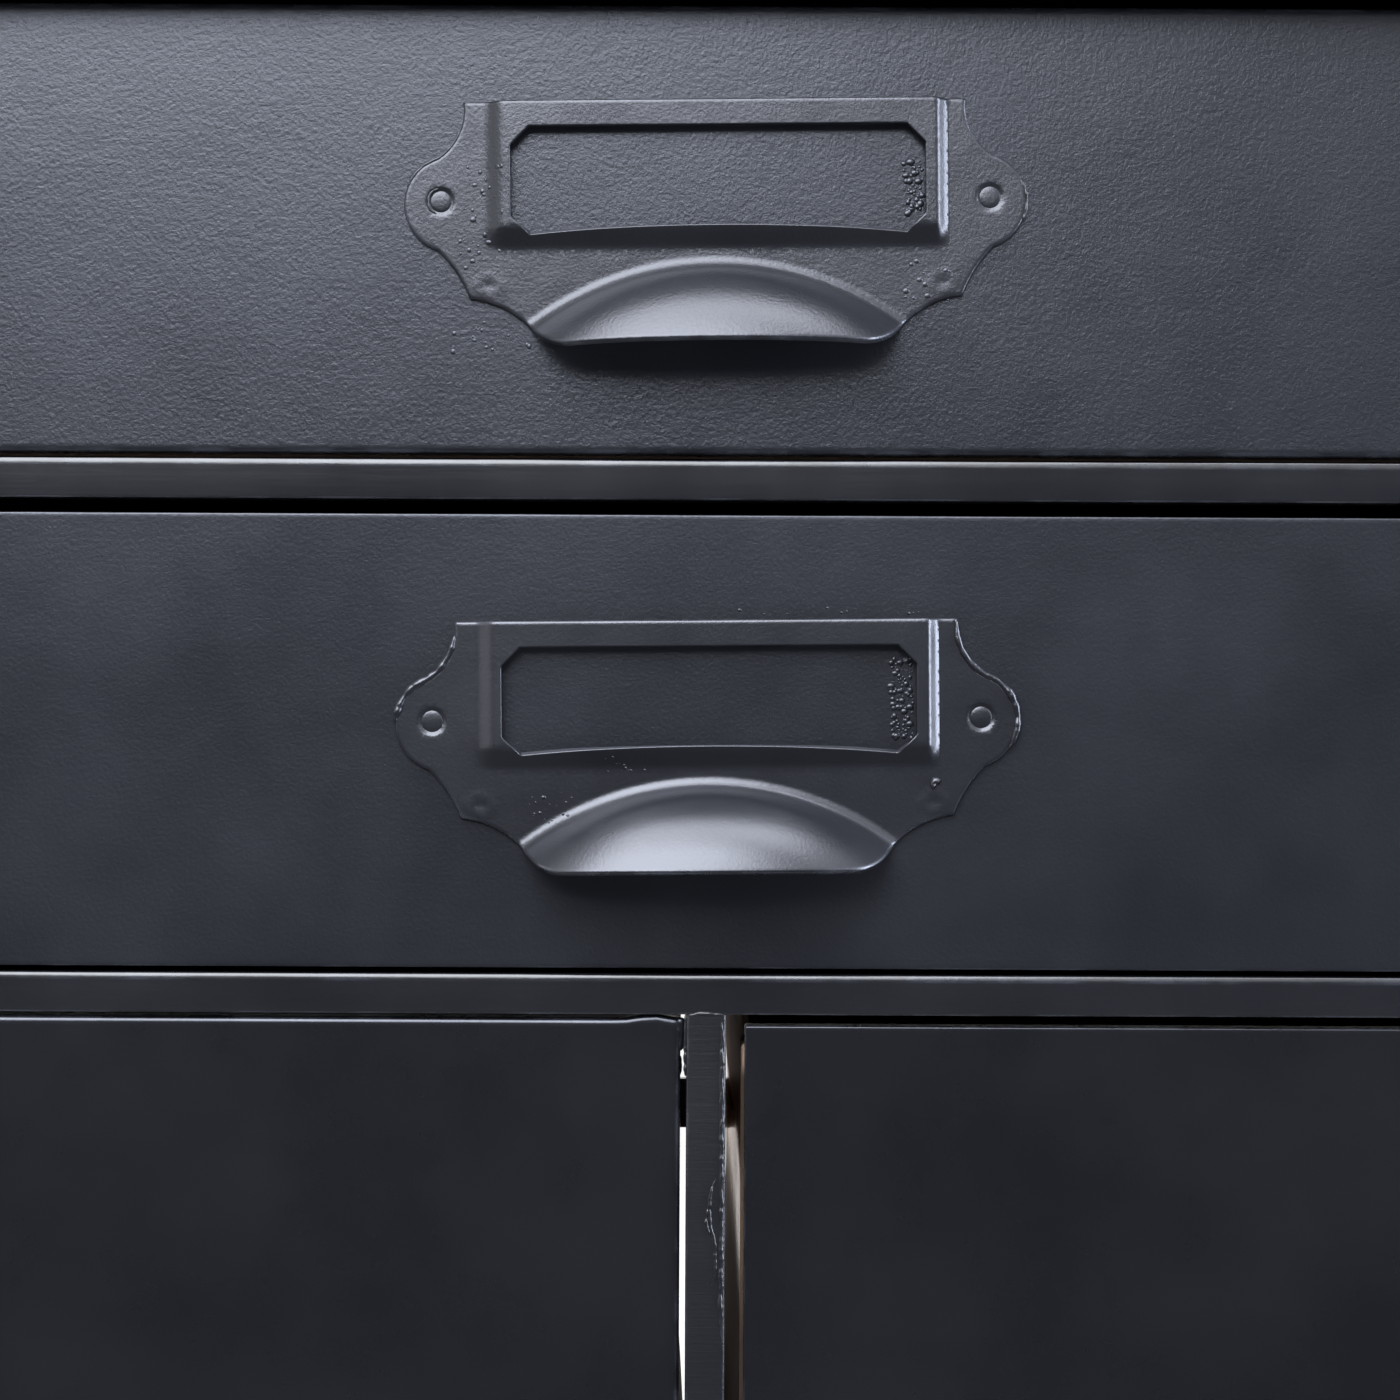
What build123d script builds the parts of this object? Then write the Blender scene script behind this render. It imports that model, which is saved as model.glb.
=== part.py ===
from build123d import *
import os

os.makedirs("parts", exist_ok=True)

# A tabletop chest of drawers in sheet steel on a welded frame of square bar: two wide shallow drawers
# above two deep half-width ones. X runs to the right, Y to the back and Z up. All sizes are millimetres.

# The case and its bays
case_width = 400.0
case_depth = 240.0
bar = 6.35  # side of the square bar
shallow_bay = 76.2  # clear height behind each wide drawer front
deep_bay = 181.0
soft_edge = 1.0  # rounded outer edge of a bar
hard_edge = 0.3  # its other edges
mullion_edge = 0.5

# Sheet parts of the case
panel_sheet = 1.0
lid_sheet = 1.2
lid_fit = 0.3  # air between the lid's lips and the frame
lid_lip = 9.0  # height of the lips, the sheet's thickness included
lid_round = 1.6
lid_nose = 8.0  # how much further the lid reaches over the drawer fronts than over the back
dust_sheet_drop = 0.6  # from the floor of a wide drawer's bay to the sheet under it
tie_height = 12.0  # flat bar across the open back of the deep bay
tie_thickness = 3.0
tie_drop = 40.0  # from the top of the deep bay to the flat bar

# Feet
foot_height = 4.0
foot_radius = 8.0
foot_inset = 14.0  # from the corner of the frame to a foot's centre
foot_edge = 1.0
foot_screw_radius = 1.75
foot_screw_length = 6.0
foot_head_radius = 3.6
foot_head_height = 1.6
foot_head_sink = 0.6  # how far the screw's head lies inside the foot

# Runners that the drawers slide on
runner_sheet = 1.0
runner_width = 12.0
runner_guide = 10.0  # height of the upright leg
runner_rise = 0.4  # top of the runner above the rail in front of it
runner_bend = 0.8
centre_runner_width = 26.0

# Drawer fronts, dished from sheet
front_sheet = 1.0
front_depth = 4.8
front_round = 0.9
face_recess = 0.8  # the fronts lie this far behind the face of the rails
side_gap = 2.15
bottom_gap = 1.0
upper_top_gap = 3.0
middle_top_gap = 2.35
left_top_gap = 0.7
right_top_gap = 1.9

# Drawer boxes, folded from sheet, with an open top and a folded rim
box_sheet = 0.9
box_inset = 0.6  # a box is narrower than its front by this on each side
box_lift = 0.7  # underside of a box above the rail
box_bend = 0.8
box_back_gap = 0.5
rim_height = 6.0
rim_thickness = 0.9
shallow_rim_drop = 13.0  # from the top of a bay to the rim of its box
deep_rim_drop = 5.0
stop_width = 12.0  # ears on the side walls, which meet the rail when a drawer is out
stop_rise = 3.5  # they stand this far above the underside of the rail
stop_inset = 44.0  # from the back of the box to the ear

# Screws from inside a box into bosses on the back of its front
boss_radius = 4.0
front_screw_radius = 2.0
front_screw_fit = 0.05
front_screw_head_radius = 3.9
front_screw_head_height = 2.0
front_screw_length = 2.8  # how far it goes into the boss
front_screw_in_x = 30.0  # from the ends of the front
front_screw_in_z = 15.0  # from the floor and the rim of the box

# The stamped pull with its card frame. Heights are measured from its two rivets, up.
pull_sheet = 1.0
rivet_half = 44.0  # half the distance between the rivets
pull_top = 15.9
shoulder_in = 3.7  # the top corners lie this far inside the rivets
high_waist_in = 2.7  # the hollow curve above an ear passes here
high_waist_z = 10.3
ear_root_out = 0.6  # an ear's round end begins this far outside its rivet
ear_high_z = 6.8
ear_reach = 5.9  # from a rivet to the end of its ear
ear_tip_z = -0.5
ear_low_z = -7.8
low_waist_in = 2.1
low_waist_z = -11.0
point_in = 4.5  # lower corner
point_z = -15.6
scallop_mid_z = -16.9
cup_corner_x = 30.0
cup_corner_z = -20.2
cup_corner_mid_x = 27.4
cup_corner_mid_z = -22.7
lip_half = 22.6
lip_z = -23.9
cup_top_z = -9.7
cup_foot_radius = 48.1  # of the curve where the cup rises out of the plate
cup_depth = 13.5  # how far the lip stands in front of the plate
cup_profile_radius = 22.4

# Card frame raised from the pull's plate
card_raise = 1.6
card_foot_in = 3.4  # from the pull's top corner to the foot of the slope round the frame
card_slope = 1.7  # width of that slope
card_foot_z = -7.5
card_top_z = -4.5
card_wall = 0.6  # how far the hollow behind lies inside the raised outline
window_in = 1.7  # from the top of the slope to the window
window_top = 11.7
window_bottom = -5.6
window_arch = 1.4  # rise of the window's lower edge at its middle
window_cut = 3.0  # clipped corners

# Rivets of the pull
rivet_sink_radius = 2.3
rivet_sink = 0.55
rivet_radius = 1.25
rivet_fit = 0.05  # air round a rivet or a foot's screw
rivet_head_radius = 1.85
rivet_head_height = 0.42
rivet_head_round = 0.25
rivet_tail_radius = 2.1
rivet_tail_height = 0.8

# Where the rivets of a pull lie: above the middle of its front, a little off centre and out of level
upper_pull_rise = 4.7
upper_pull_shift = 1.1
upper_pull_tilt = 0.75  # degrees, right end up
middle_pull_rise = 3.6
middle_pull_shift = 0.1
middle_pull_tilt = 0.7
deep_pull_rise = 3.9

# The deep drawers' fronts hang a little to the right in their bays, on boxes that sit further left
mullion_shift = 0.3
deep_front_shift = 1.2
left_box_shift = -1.7  # a box's middle against its front's
right_box_shift = -1.2

# Levels of the frame and its front, worked out from the sizes above
deep_floor = foot_height + bar
deep_ceiling = deep_floor + deep_bay
middle_floor = deep_ceiling + bar
middle_ceiling = middle_floor + shallow_bay
upper_floor = middle_ceiling + bar
upper_ceiling = upper_floor + shallow_bay
frame_top = upper_ceiling + bar
lid_overhang = lid_fit + lid_sheet
pull_reach = pull_sheet + cup_depth
front_y = (pull_reach - face_recess - case_depth - lid_overhang) / 2
back_y = front_y + case_depth
face_y = front_y + face_recess
box_front_y = face_y + front_depth
front_screw_reach = front_screw_length + front_screw_fit
rear_face_y = back_y - bar
inner_half = case_width / 2 - bar
half_bay = inner_half - bar / 2

# Planes to draw a bar's section on. Each one's normal runs along the bar.
across_x = Plane.YZ  # local x is Y, local y is Z
across_y = Plane(origin=(0, 0, 0), x_dir=(0, 0, 1), z_dir=(0, 1, 0))  # local x is Z, local y is X
across_z = Plane.XY


def write(piece, name):
    piece.part.label = name
    export_step(piece.part, f"parts/{name}.step")


def frame_bar(name, plane, start, end, centre, soft, soft_radius=soft_edge):
    """A square bar from start to end along the plane's normal. soft points to its rounder edge."""
    with BuildPart() as piece:
        with BuildSketch(plane.offset(start)) as section:
            with Locations(centre):
                Rectangle(bar, bar)
            outward = section.vertices().sort_by(lambda v: soft[0] * v.X + soft[1] * v.Y)
            fillet(outward[-1], soft_radius)
            inward = section.vertices().sort_by(lambda v: soft[0] * v.X + soft[1] * v.Y)
            fillet(inward[0:3], hard_edge)
        extrude(amount=end - start)
    write(piece, name)


def flat_plate(name, low, high):
    """A flat sheet or strip between two opposite corners."""
    with BuildPart() as piece:
        with Locations(tuple((low[i] + high[i]) / 2 for i in range(3))):
            Box(*[high[i] - low[i] for i in range(3)])
    write(piece, name)


# The upright bars run from the foot level to the top of the frame
post_x = case_width / 2 - bar / 2
front_bar_y = front_y + bar / 2
rear_bar_y = back_y - bar / 2
for side, word in ((-1, "left"), (1, "right")):
    frame_bar(f"stile_{word}", across_z, foot_height, frame_top, (side * post_x, front_bar_y), (side, -1))
    frame_bar(f"rear_post_{word}", across_z, foot_height, frame_top, (side * post_x, rear_bar_y), (side, 1))

# Rails across the front and the back, at the four levels
levels = {"bottom": foot_height, "middle": deep_ceiling, "upper": middle_ceiling, "top": upper_ceiling}
for word, low in levels.items():
    height = low + bar / 2
    frame_bar(f"{word}_front_rail", across_x, -inner_half, inner_half, (front_bar_y, height), (-1, 1))
    frame_bar(f"{word}_rear_rail", across_x, -inner_half, inner_half, (rear_bar_y, height), (1, 1))

# Bars along the sides, between the stiles and the rear posts
for side, word in ((-1, "left"), (1, "right")):
    for level, low in (("bottom", foot_height), ("top", upper_ceiling)):
        frame_bar(
            f"{level}_side_rail_{word}", across_y, front_y + bar, rear_face_y,
            (low + bar / 2, side * post_x), (1 if level == "top" else -1, side),
        )

# The upright between the two deep drawers
with BuildPart() as mullion:
    with BuildSketch(across_z.offset(deep_floor)) as section:
        with Locations((mullion_shift, front_bar_y)):
            Rectangle(bar, bar)
        fillet(section.vertices(), mullion_edge)
    extrude(amount=deep_bay)
write(mullion, "mullion")

# Flat bar across the open back of the deep bay
tie_top = deep_ceiling - tie_drop
flat_plate(
    "back_tie",
    (-inner_half, rear_face_y, tie_top - tie_height),
    (inner_half, rear_face_y + tie_thickness, tie_top),
)

# Sheets between the bars, with holes for the feet's screws in the bottom one
foot_x = case_width / 2 - foot_inset
foot_ys = (front_y + foot_inset, back_y - foot_inset)
foot_places = [(x, y) for x in (-foot_x, foot_x) for y in foot_ys]
for side, word in ((-1, "left"), (1, "right")):
    near, far = sorted((side * inner_half, side * (inner_half + panel_sheet)))
    flat_plate(
        f"side_panel_{word}",
        (near, front_y + bar, deep_floor),
        (far, rear_face_y, upper_ceiling),
    )
with BuildPart() as bottom_panel:
    with BuildSketch(Plane.XY.offset(foot_height)):
        with Locations((0, (front_y + back_y) / 2)):
            Rectangle(2 * inner_half, case_depth - 2 * bar)
        with Locations(foot_places):
            Circle(foot_screw_radius + rivet_fit, mode=Mode.SUBTRACT)
    extrude(amount=panel_sheet)
write(bottom_panel, "bottom_panel")
back_face_y = rear_face_y - panel_sheet
flat_plate("back_panel", (-inner_half, back_face_y, deep_ceiling), (inner_half, rear_face_y, frame_top))

for level, floor in (("middle", middle_floor), ("upper", upper_floor)):
    dust_sheet_top = floor - dust_sheet_drop
    flat_plate(
        f"{level}_dust_sheet",
        (-inner_half, front_y + bar, dust_sheet_top - panel_sheet),
        (inner_half, back_face_y, dust_sheet_top),
    )

# The lid lies on the frame, and its lips cover the top bars
lid_width = case_width + 2 * lid_overhang
lid_depth = case_depth + 2 * lid_overhang + lid_nose
lid_y = (front_y + back_y - lid_nose) / 2
lid_top = frame_top + lid_sheet
with BuildPart() as lid:
    with Locations((0, lid_y, lid_top - lid_lip / 2)):
        Box(lid_width, lid_depth, lid_lip)
    fillet(lid.edges().filter_by(Axis.Z), lid_round)
    fillet(lid.faces().sort_by(Axis.Z)[-1].edges(), lid_round * 0.8)
    with Locations((0, lid_y, lid_top - lid_sheet - lid_lip / 2)):
        Box(lid_width - 2 * lid_sheet, lid_depth - 2 * lid_sheet, lid_lip, mode=Mode.SUBTRACT)
write(lid, "lid")

# Four feet under the corners, with a screw through each into the bottom panel
head_top = foot_head_sink + foot_head_height
with BuildPart() as feet:
    with BuildSketch():
        with Locations(foot_places):
            Circle(foot_radius)
    extrude(amount=foot_height)
    fillet(feet.faces().group_by(Axis.Z)[0].edges(), foot_edge)
    with BuildSketch():
        with Locations(foot_places):
            Circle(foot_head_radius + rivet_fit)
    extrude(amount=head_top, mode=Mode.SUBTRACT)
    with BuildSketch():
        with Locations(foot_places):
            Circle(foot_screw_radius + rivet_fit)
    extrude(amount=foot_height, mode=Mode.SUBTRACT)
write(feet, "feet")

with BuildPart() as foot_screws:
    with BuildSketch(Plane.XY.offset(foot_head_sink)):
        with Locations(foot_places):
            Circle(foot_head_radius)
    extrude(amount=foot_head_height)
    fillet(foot_screws.faces().group_by(Axis.Z)[0].edges(), foot_head_height / 3)
    with BuildSketch(Plane.XY.offset(head_top)):
        with Locations(foot_places):
            Circle(foot_screw_radius)
    extrude(amount=foot_screw_length)
write(foot_screws, "foot_screws")

# Each drawer slides on a pair of angles against the sides of the case, between the rails and the back
bays = {
    "upper": (upper_floor, back_face_y),
    "middle": (middle_floor, back_face_y),
    "lower": (deep_floor, rear_face_y),
}
for level, (floor, runner_back) in bays.items():
    for side, word in ((-1, "left"), (1, "right")):
        with BuildPart() as runner:
            with BuildSketch(Plane.XZ.offset(-front_y - bar)):
                with BuildLine():
                    outer_x = side * inner_half
                    inner_x = side * (inner_half - runner_width)
                    foot_z = floor + runner_rise - runner_sheet
                    Polyline(
                        (outer_x, foot_z),
                        (outer_x, foot_z + runner_guide),
                        (outer_x - side * runner_sheet, foot_z + runner_guide),
                        (outer_x - side * runner_sheet, foot_z + runner_sheet),
                        (inner_x, foot_z + runner_sheet),
                        (inner_x, foot_z),
                        close=True,
                    )
                make_face()
            extrude(amount=-(runner_back - front_y - bar))
            heel = runner.edges().filter_by(Axis.Y).sort_by_distance((outer_x, 0, foot_z))[0]
            fillet(heel, runner_bend)
        write(runner, f"{level}_runner_{word}")

# Between the deep drawers, a strip carries both and a square bar keeps them apart
strip_top = deep_floor + runner_rise
flat_plate(
    "centre_runner",
    (-centre_runner_width / 2, front_y + bar, strip_top - runner_sheet),
    (centre_runner_width / 2, rear_face_y, strip_top),
)
flat_plate("centre_guide", (-bar / 2, front_y + bar, strip_top), (bar / 2, rear_face_y, strip_top + bar))


def write_front(name, left, right, low, high, bosses, rivets):
    """A dished front with bosses on its back and holes for its pull's rivets."""
    middle_x = (left + right) / 2
    middle_z = (low + high) / 2
    with BuildPart() as front:
        with BuildSketch(Plane.XZ.offset(-face_y)):
            with Locations((middle_x, middle_z)):
                Rectangle(right - left, high - low)
        extrude(amount=-front_depth)
        fillet(front.edges().filter_by(Axis.Y), front_round)
        fillet(front.faces().sort_by(Axis.Y)[0].edges(), front_round)
        with BuildSketch(Plane.XZ.offset(-face_y - front_sheet)):
            with Locations((middle_x, middle_z)):
                Rectangle(right - left - 2 * front_sheet, high - low - 2 * front_sheet)
        extrude(amount=-front_depth, mode=Mode.SUBTRACT)
        with BuildSketch(Plane.XZ.offset(-box_front_y)):
            with Locations(bosses):
                Circle(boss_radius)
        extrude(amount=front_depth - front_sheet)
        with BuildSketch(Plane.XZ.offset(-box_front_y)):
            with Locations(bosses):
                Circle(front_screw_radius + front_screw_fit)
        extrude(amount=front_screw_reach, mode=Mode.SUBTRACT)
        with BuildSketch(Plane.XZ.offset(-face_y)):
            with Locations(rivets):
                Circle(rivet_radius + rivet_fit)
        extrude(amount=-front_sheet, mode=Mode.SUBTRACT)
    write(front, f"{name}_front")


def write_front_screws(name, bosses):
    """The screws that hold a box to its front, with their heads inside the box."""
    with BuildPart() as screws:
        with BuildSketch(Plane.XZ.offset(-box_front_y - box_sheet)):
            with Locations(bosses):
                Circle(front_screw_head_radius)
        extrude(amount=-front_screw_head_height)
        fillet(screws.faces().group_by(Axis.Y)[-1].edges(), front_screw_head_height / 2)
        with BuildSketch(Plane.XZ.offset(-box_front_y - box_sheet)):
            with Locations(bosses):
                Circle(front_screw_radius)
        extrude(amount=box_sheet + front_screw_length)
    write(screws, f"{name}_front_screws")


def write_box(name, left, right, low, high, back, ceiling, bosses):
    """The bottom and sides of an open-topped box, with doubled rims and an ear on each side."""
    middle_x = (left + right) / 2
    middle_y = (box_front_y + back) / 2
    length = back - box_front_y
    wall_x = middle_x - left - box_sheet / 2
    rim_x = wall_x - (box_sheet + rim_thickness) / 2
    with BuildPart() as box:
        with BuildSketch(Plane.XZ.offset(-box_front_y)) as section:
            with Locations((middle_x, (low + high) / 2)):
                Rectangle(right - left, high - low)
            fillet(section.vertices().group_by(Axis.Z)[0], box_bend)
            with Locations((middle_x, (low + high) / 2 + box_sheet)):
                Rectangle(right - left - 2 * box_sheet, high - low, mode=Mode.SUBTRACT)
        extrude(amount=-length)
        with BuildSketch(Plane.XY.offset(high)):
            with Locations((middle_x - rim_x, middle_y), (middle_x + rim_x, middle_y)):
                Rectangle(rim_thickness, length - 2 * box_sheet)
        extrude(amount=-rim_height)
        ear_y = back - stop_inset - stop_width / 2
        with BuildSketch(Plane.XY.offset(high)):
            with Locations((middle_x - wall_x, ear_y), (middle_x + wall_x, ear_y)):
                Rectangle(box_sheet, stop_width)
        extrude(amount=ceiling + stop_rise - high)
    write(box, f"{name}_box")

    # The front and back walls are welded in between the sides
    end_width = right - left - 2 * box_sheet
    with BuildPart() as ends:
        for wall_y, towards in ((box_front_y, 1), (back, -1)):
            with BuildSketch(Plane.XZ.offset(-wall_y)):
                with Locations((middle_x, (low + box_sheet + high) / 2)):
                    Rectangle(end_width, high - low - box_sheet)
            extrude(amount=-towards * box_sheet)
            with BuildSketch(Plane.XZ.offset(-wall_y - towards * box_sheet)):
                with Locations((middle_x, high - rim_height / 2)):
                    Rectangle(end_width - 2 * rim_thickness, rim_height)
            extrude(amount=-towards * rim_thickness)
        with BuildSketch(Plane.XZ.offset(-box_front_y)):
            with Locations(bosses):
                Circle(front_screw_radius + front_screw_fit)
        extrude(amount=-box_sheet, mode=Mode.SUBTRACT)
    write(ends, f"{name}_box_ends")


def write_pull(name, plane):
    """A stamped pull on a plane that lies on the front, with its x axis through the rivets."""
    shoulder_x = rivet_half - shoulder_in
    card_foot_half = shoulder_x - card_foot_in
    card_top_half = card_foot_half - card_slope
    window_half = card_top_half - window_in
    point_x = rivet_half - point_in

    # The cup is a bowl turned round an axis square to the plate. Its section is drawn here as the
    # distance out from the plate's back and the distance from that axis.
    cup_centre_z = cup_top_z - cup_foot_radius
    section_plane = Plane(
        origin=plane.from_local_coords((0, cup_centre_z, 0)), x_dir=plane.z_dir, z_dir=-plane.x_dir
    )
    cup_axis = Axis(section_plane.origin, plane.z_dir)
    lip_reach = lip_z - cup_centre_z
    lip_point = Vector(pull_sheet + cup_depth, lip_reach)
    foot_point = Vector(pull_sheet, cup_foot_radius)
    chord = foot_point - lip_point
    sag = (cup_profile_radius**2 - (chord.length / 2) ** 2) ** 0.5
    inward = Vector(-chord.Y, chord.X).normalized()
    centre = lip_point + chord * 0.5 + inward * sag
    inner_radius = cup_profile_radius - pull_sheet
    inner_lip_out = centre.X + (inner_radius**2 - (lip_reach - centre.Y) ** 2) ** 0.5
    inner_foot_reach = centre.Y + (inner_radius**2 - centre.X**2) ** 0.5

    with BuildSketch(plane) as outline:
        with BuildLine():
            Line((-lip_half, lip_z), (lip_half, lip_z))
            Line((-shoulder_x, pull_top), (shoulder_x, pull_top))
            for side in (-1, 1):
                lip_end = (side * lip_half, lip_z)
                cup_corner = (side * cup_corner_x, cup_corner_z)
                point = (side * point_x, point_z)
                ear_root = side * (rivet_half + ear_root_out)
                ear_low = (ear_root, ear_low_z)
                ear_tip = (side * (rivet_half + ear_reach), ear_tip_z)
                ear_high = (ear_root, ear_high_z)
                shoulder = (side * shoulder_x, pull_top)
                scallop_mid = (side * (cup_corner_x + point_x) / 2, scallop_mid_z)
                ThreePointArc(lip_end, (side * cup_corner_mid_x, cup_corner_mid_z), cup_corner)
                ThreePointArc(cup_corner, scallop_mid, point)
                ThreePointArc(point, (side * (rivet_half - low_waist_in), low_waist_z), ear_low)
                ThreePointArc(ear_low, ear_tip, ear_high)
                ThreePointArc(ear_high, (side * (rivet_half - high_waist_in), high_waist_z), shoulder)
        make_face()

    with BuildPart() as cup:
        with BuildSketch(section_plane):
            with BuildLine():
                ThreePointArc(lip_point, centre - inward * cup_profile_radius, foot_point)
                Polyline(foot_point, (0, cup_foot_radius), (0, lip_reach), lip_point)
            make_face()
        revolve(axis=cup_axis)
        extrude(outline.sketch, amount=2 * lip_point.X, mode=Mode.INTERSECT)

    with BuildPart() as pull:
        extrude(outline.sketch, amount=pull_sheet)
        add(cup.part)
        # The hollow of the cup goes through the plate, so the front of the drawer shows behind it
        with BuildSketch(section_plane):
            with BuildLine():
                below = lip_reach - pull_sheet
                ThreePointArc(
                    (inner_lip_out, lip_reach),
                    centre - inward * inner_radius,
                    (0, inner_foot_reach),
                )
                Polyline(
                    (0, inner_foot_reach),
                    (-pull_sheet, inner_foot_reach),
                    (-pull_sheet, below),
                    (inner_lip_out, below),
                    (inner_lip_out, lip_reach),
                )
            make_face()
        revolve(axis=cup_axis, mode=Mode.SUBTRACT)
        # The card frame is pressed forward, and is open along the top for a card to slide in
        for hollow in (False, True):
            grow = -card_wall if hollow else 0
            start = 0 if hollow else pull_sheet
            top = pull_top + (pull_sheet if hollow else 0)
            end = card_raise if hollow else pull_sheet + card_raise
            for height, half, foot in (
                (start, card_foot_half + grow, card_foot_z - grow),
                (end, card_top_half + grow, card_top_z - grow),
            ):
                with BuildSketch(plane.offset(height)):
                    with BuildLine():
                        Polyline((-half, top), (-half, foot), (half, foot), (half, top), close=True)
                    make_face()
            loft(mode=Mode.SUBTRACT if hollow else Mode.ADD)
        with BuildSketch(plane):
            with BuildLine():
                side_low = window_bottom + window_cut
                side_high = window_top - window_cut
                low_x = window_half - window_cut
                Polyline(
                    (-low_x, window_bottom),
                    (-window_half, side_low),
                    (-window_half, side_high),
                    (-low_x, window_top),
                    (low_x, window_top),
                    (window_half, side_high),
                    (window_half, side_low),
                    (low_x, window_bottom),
                )
                ThreePointArc(
                    (low_x, window_bottom),
                    (0, window_bottom + window_arch),
                    (-low_x, window_bottom),
                )
            make_face()
        extrude(amount=pull_sheet + card_raise + 1, mode=Mode.SUBTRACT)
        with BuildSketch(plane.offset(pull_sheet)):
            with Locations((-rivet_half, 0), (rivet_half, 0)):
                Circle(rivet_sink_radius)
        extrude(amount=-rivet_sink, mode=Mode.SUBTRACT)
        with BuildSketch(plane):
            with Locations((-rivet_half, 0), (rivet_half, 0)):
                Circle(rivet_radius + rivet_fit)
        extrude(amount=pull_sheet, mode=Mode.SUBTRACT)
    write(pull, f"{name}_pull")

    with BuildPart() as rivets:
        for height, radius, amount in (
            (pull_sheet - rivet_sink, rivet_head_radius, rivet_head_height),
            (-front_sheet, rivet_radius, pull_sheet - rivet_sink + front_sheet),
            (-front_sheet - rivet_tail_height, rivet_tail_radius, rivet_tail_height),
        ):
            with BuildSketch(plane.offset(height)):
                with Locations((-rivet_half, 0), (rivet_half, 0)):
                    Circle(radius)
            extrude(amount=amount)
        fillet(rivets.faces().group_by(Axis.Y)[0].edges(), rivet_head_round)
    write(rivets, f"{name}_pull_rivets")


def write_drawer(name, middle_x, half_width, levels, drops, box_shift, back, pull_place):
    """One drawer. levels are its bay's floor and ceiling. drops are from there to its front and its rim.
    pull_place is how far its pull is shifted, raised and tilted."""
    floor, ceiling = levels
    top_gap, rim_drop = drops
    pull_shift, pull_rise, pull_tilt = pull_place
    left = middle_x - half_width
    right = middle_x + half_width
    front_low = floor + bottom_gap
    front_high = ceiling - top_gap
    box_left = left + box_inset + box_shift
    box_right = right - box_inset + box_shift
    box_low = floor + box_lift
    box_high = ceiling - rim_drop
    bosses = [
        (x, z)
        for x in (left + front_screw_in_x, right - front_screw_in_x)
        for z in (box_low + front_screw_in_z, box_high - front_screw_in_z)
    ]
    pull_x = middle_x + pull_shift
    pull_z = (front_low + front_high) / 2 + pull_rise
    along = Vector(1, 0, 0).rotate(Axis.Y, -pull_tilt)
    pull_plane = Plane(origin=(pull_x, face_y, pull_z), x_dir=along, z_dir=(0, -1, 0))
    reaches = (-rivet_half, rivet_half)
    rivets = [(pull_x + reach * along.X, pull_z + reach * along.Z) for reach in reaches]
    write_front(name, left, right, front_low, front_high, bosses, rivets)
    write_front_screws(name, bosses)
    write_box(name, box_left, box_right, box_low, box_high, back, ceiling, bosses)
    write_pull(name, pull_plane)


shallow_half = inner_half - side_gap
shallow_back = back_face_y - box_back_gap
upper_pull_place = (upper_pull_shift, upper_pull_rise, upper_pull_tilt)
middle_pull_place = (middle_pull_shift, middle_pull_rise, middle_pull_tilt)
for name, levels, top_gap, pull_place in (
    ("upper", (upper_floor, upper_ceiling), upper_top_gap, upper_pull_place),
    ("middle", (middle_floor, middle_ceiling), middle_top_gap, middle_pull_place),
):
    drops = (top_gap, shallow_rim_drop)
    write_drawer(name, 0, shallow_half, levels, drops, 0, shallow_back, pull_place)

deep_half = half_bay / 2 - side_gap
deep_back = rear_face_y - box_back_gap
deep_levels = (deep_floor, deep_ceiling)
deep_pull_place = (0, deep_pull_rise, 0)
for name, side, top_gap, box_shift in (
    ("lower_left", -1, left_top_gap, left_box_shift),
    ("lower_right", 1, right_top_gap, right_box_shift),
):
    middle_x = side * (bar + half_bay) / 2 + deep_front_shift
    drops = (top_gap, deep_rim_drop)
    write_drawer(name, middle_x, deep_half, deep_levels, drops, box_shift, deep_back, deep_pull_place)
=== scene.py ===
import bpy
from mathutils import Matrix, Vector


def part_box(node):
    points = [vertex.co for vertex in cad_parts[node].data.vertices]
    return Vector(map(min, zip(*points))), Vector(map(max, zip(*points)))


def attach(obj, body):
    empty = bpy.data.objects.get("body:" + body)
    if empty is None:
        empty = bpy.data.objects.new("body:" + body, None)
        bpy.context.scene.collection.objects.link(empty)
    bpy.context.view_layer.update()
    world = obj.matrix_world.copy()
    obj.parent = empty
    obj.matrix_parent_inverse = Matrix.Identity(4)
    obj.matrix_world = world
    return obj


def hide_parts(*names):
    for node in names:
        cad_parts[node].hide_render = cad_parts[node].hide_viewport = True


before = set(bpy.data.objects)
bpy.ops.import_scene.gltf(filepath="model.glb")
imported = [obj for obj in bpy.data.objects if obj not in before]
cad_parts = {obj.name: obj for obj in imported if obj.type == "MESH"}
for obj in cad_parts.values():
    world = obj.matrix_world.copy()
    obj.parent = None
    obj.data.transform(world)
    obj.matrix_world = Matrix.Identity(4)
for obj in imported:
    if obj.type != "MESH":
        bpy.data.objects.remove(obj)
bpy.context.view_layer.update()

from math import atan2, cos, dist, exp, hypot, pi, radians, sin, sqrt, tan, tau

import bmesh
import bpy
from mathutils import Vector, noise
from mathutils.geometry import delaunay_2d_cdt

mm = 0.001
drawers = ("upper", "middle", "lower_left", "lower_right")


def linked(name, data):
    # a new object in the scene
    item = bpy.data.objects.new(name, data)
    bpy.context.scene.collection.objects.link(item)
    return item


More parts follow.
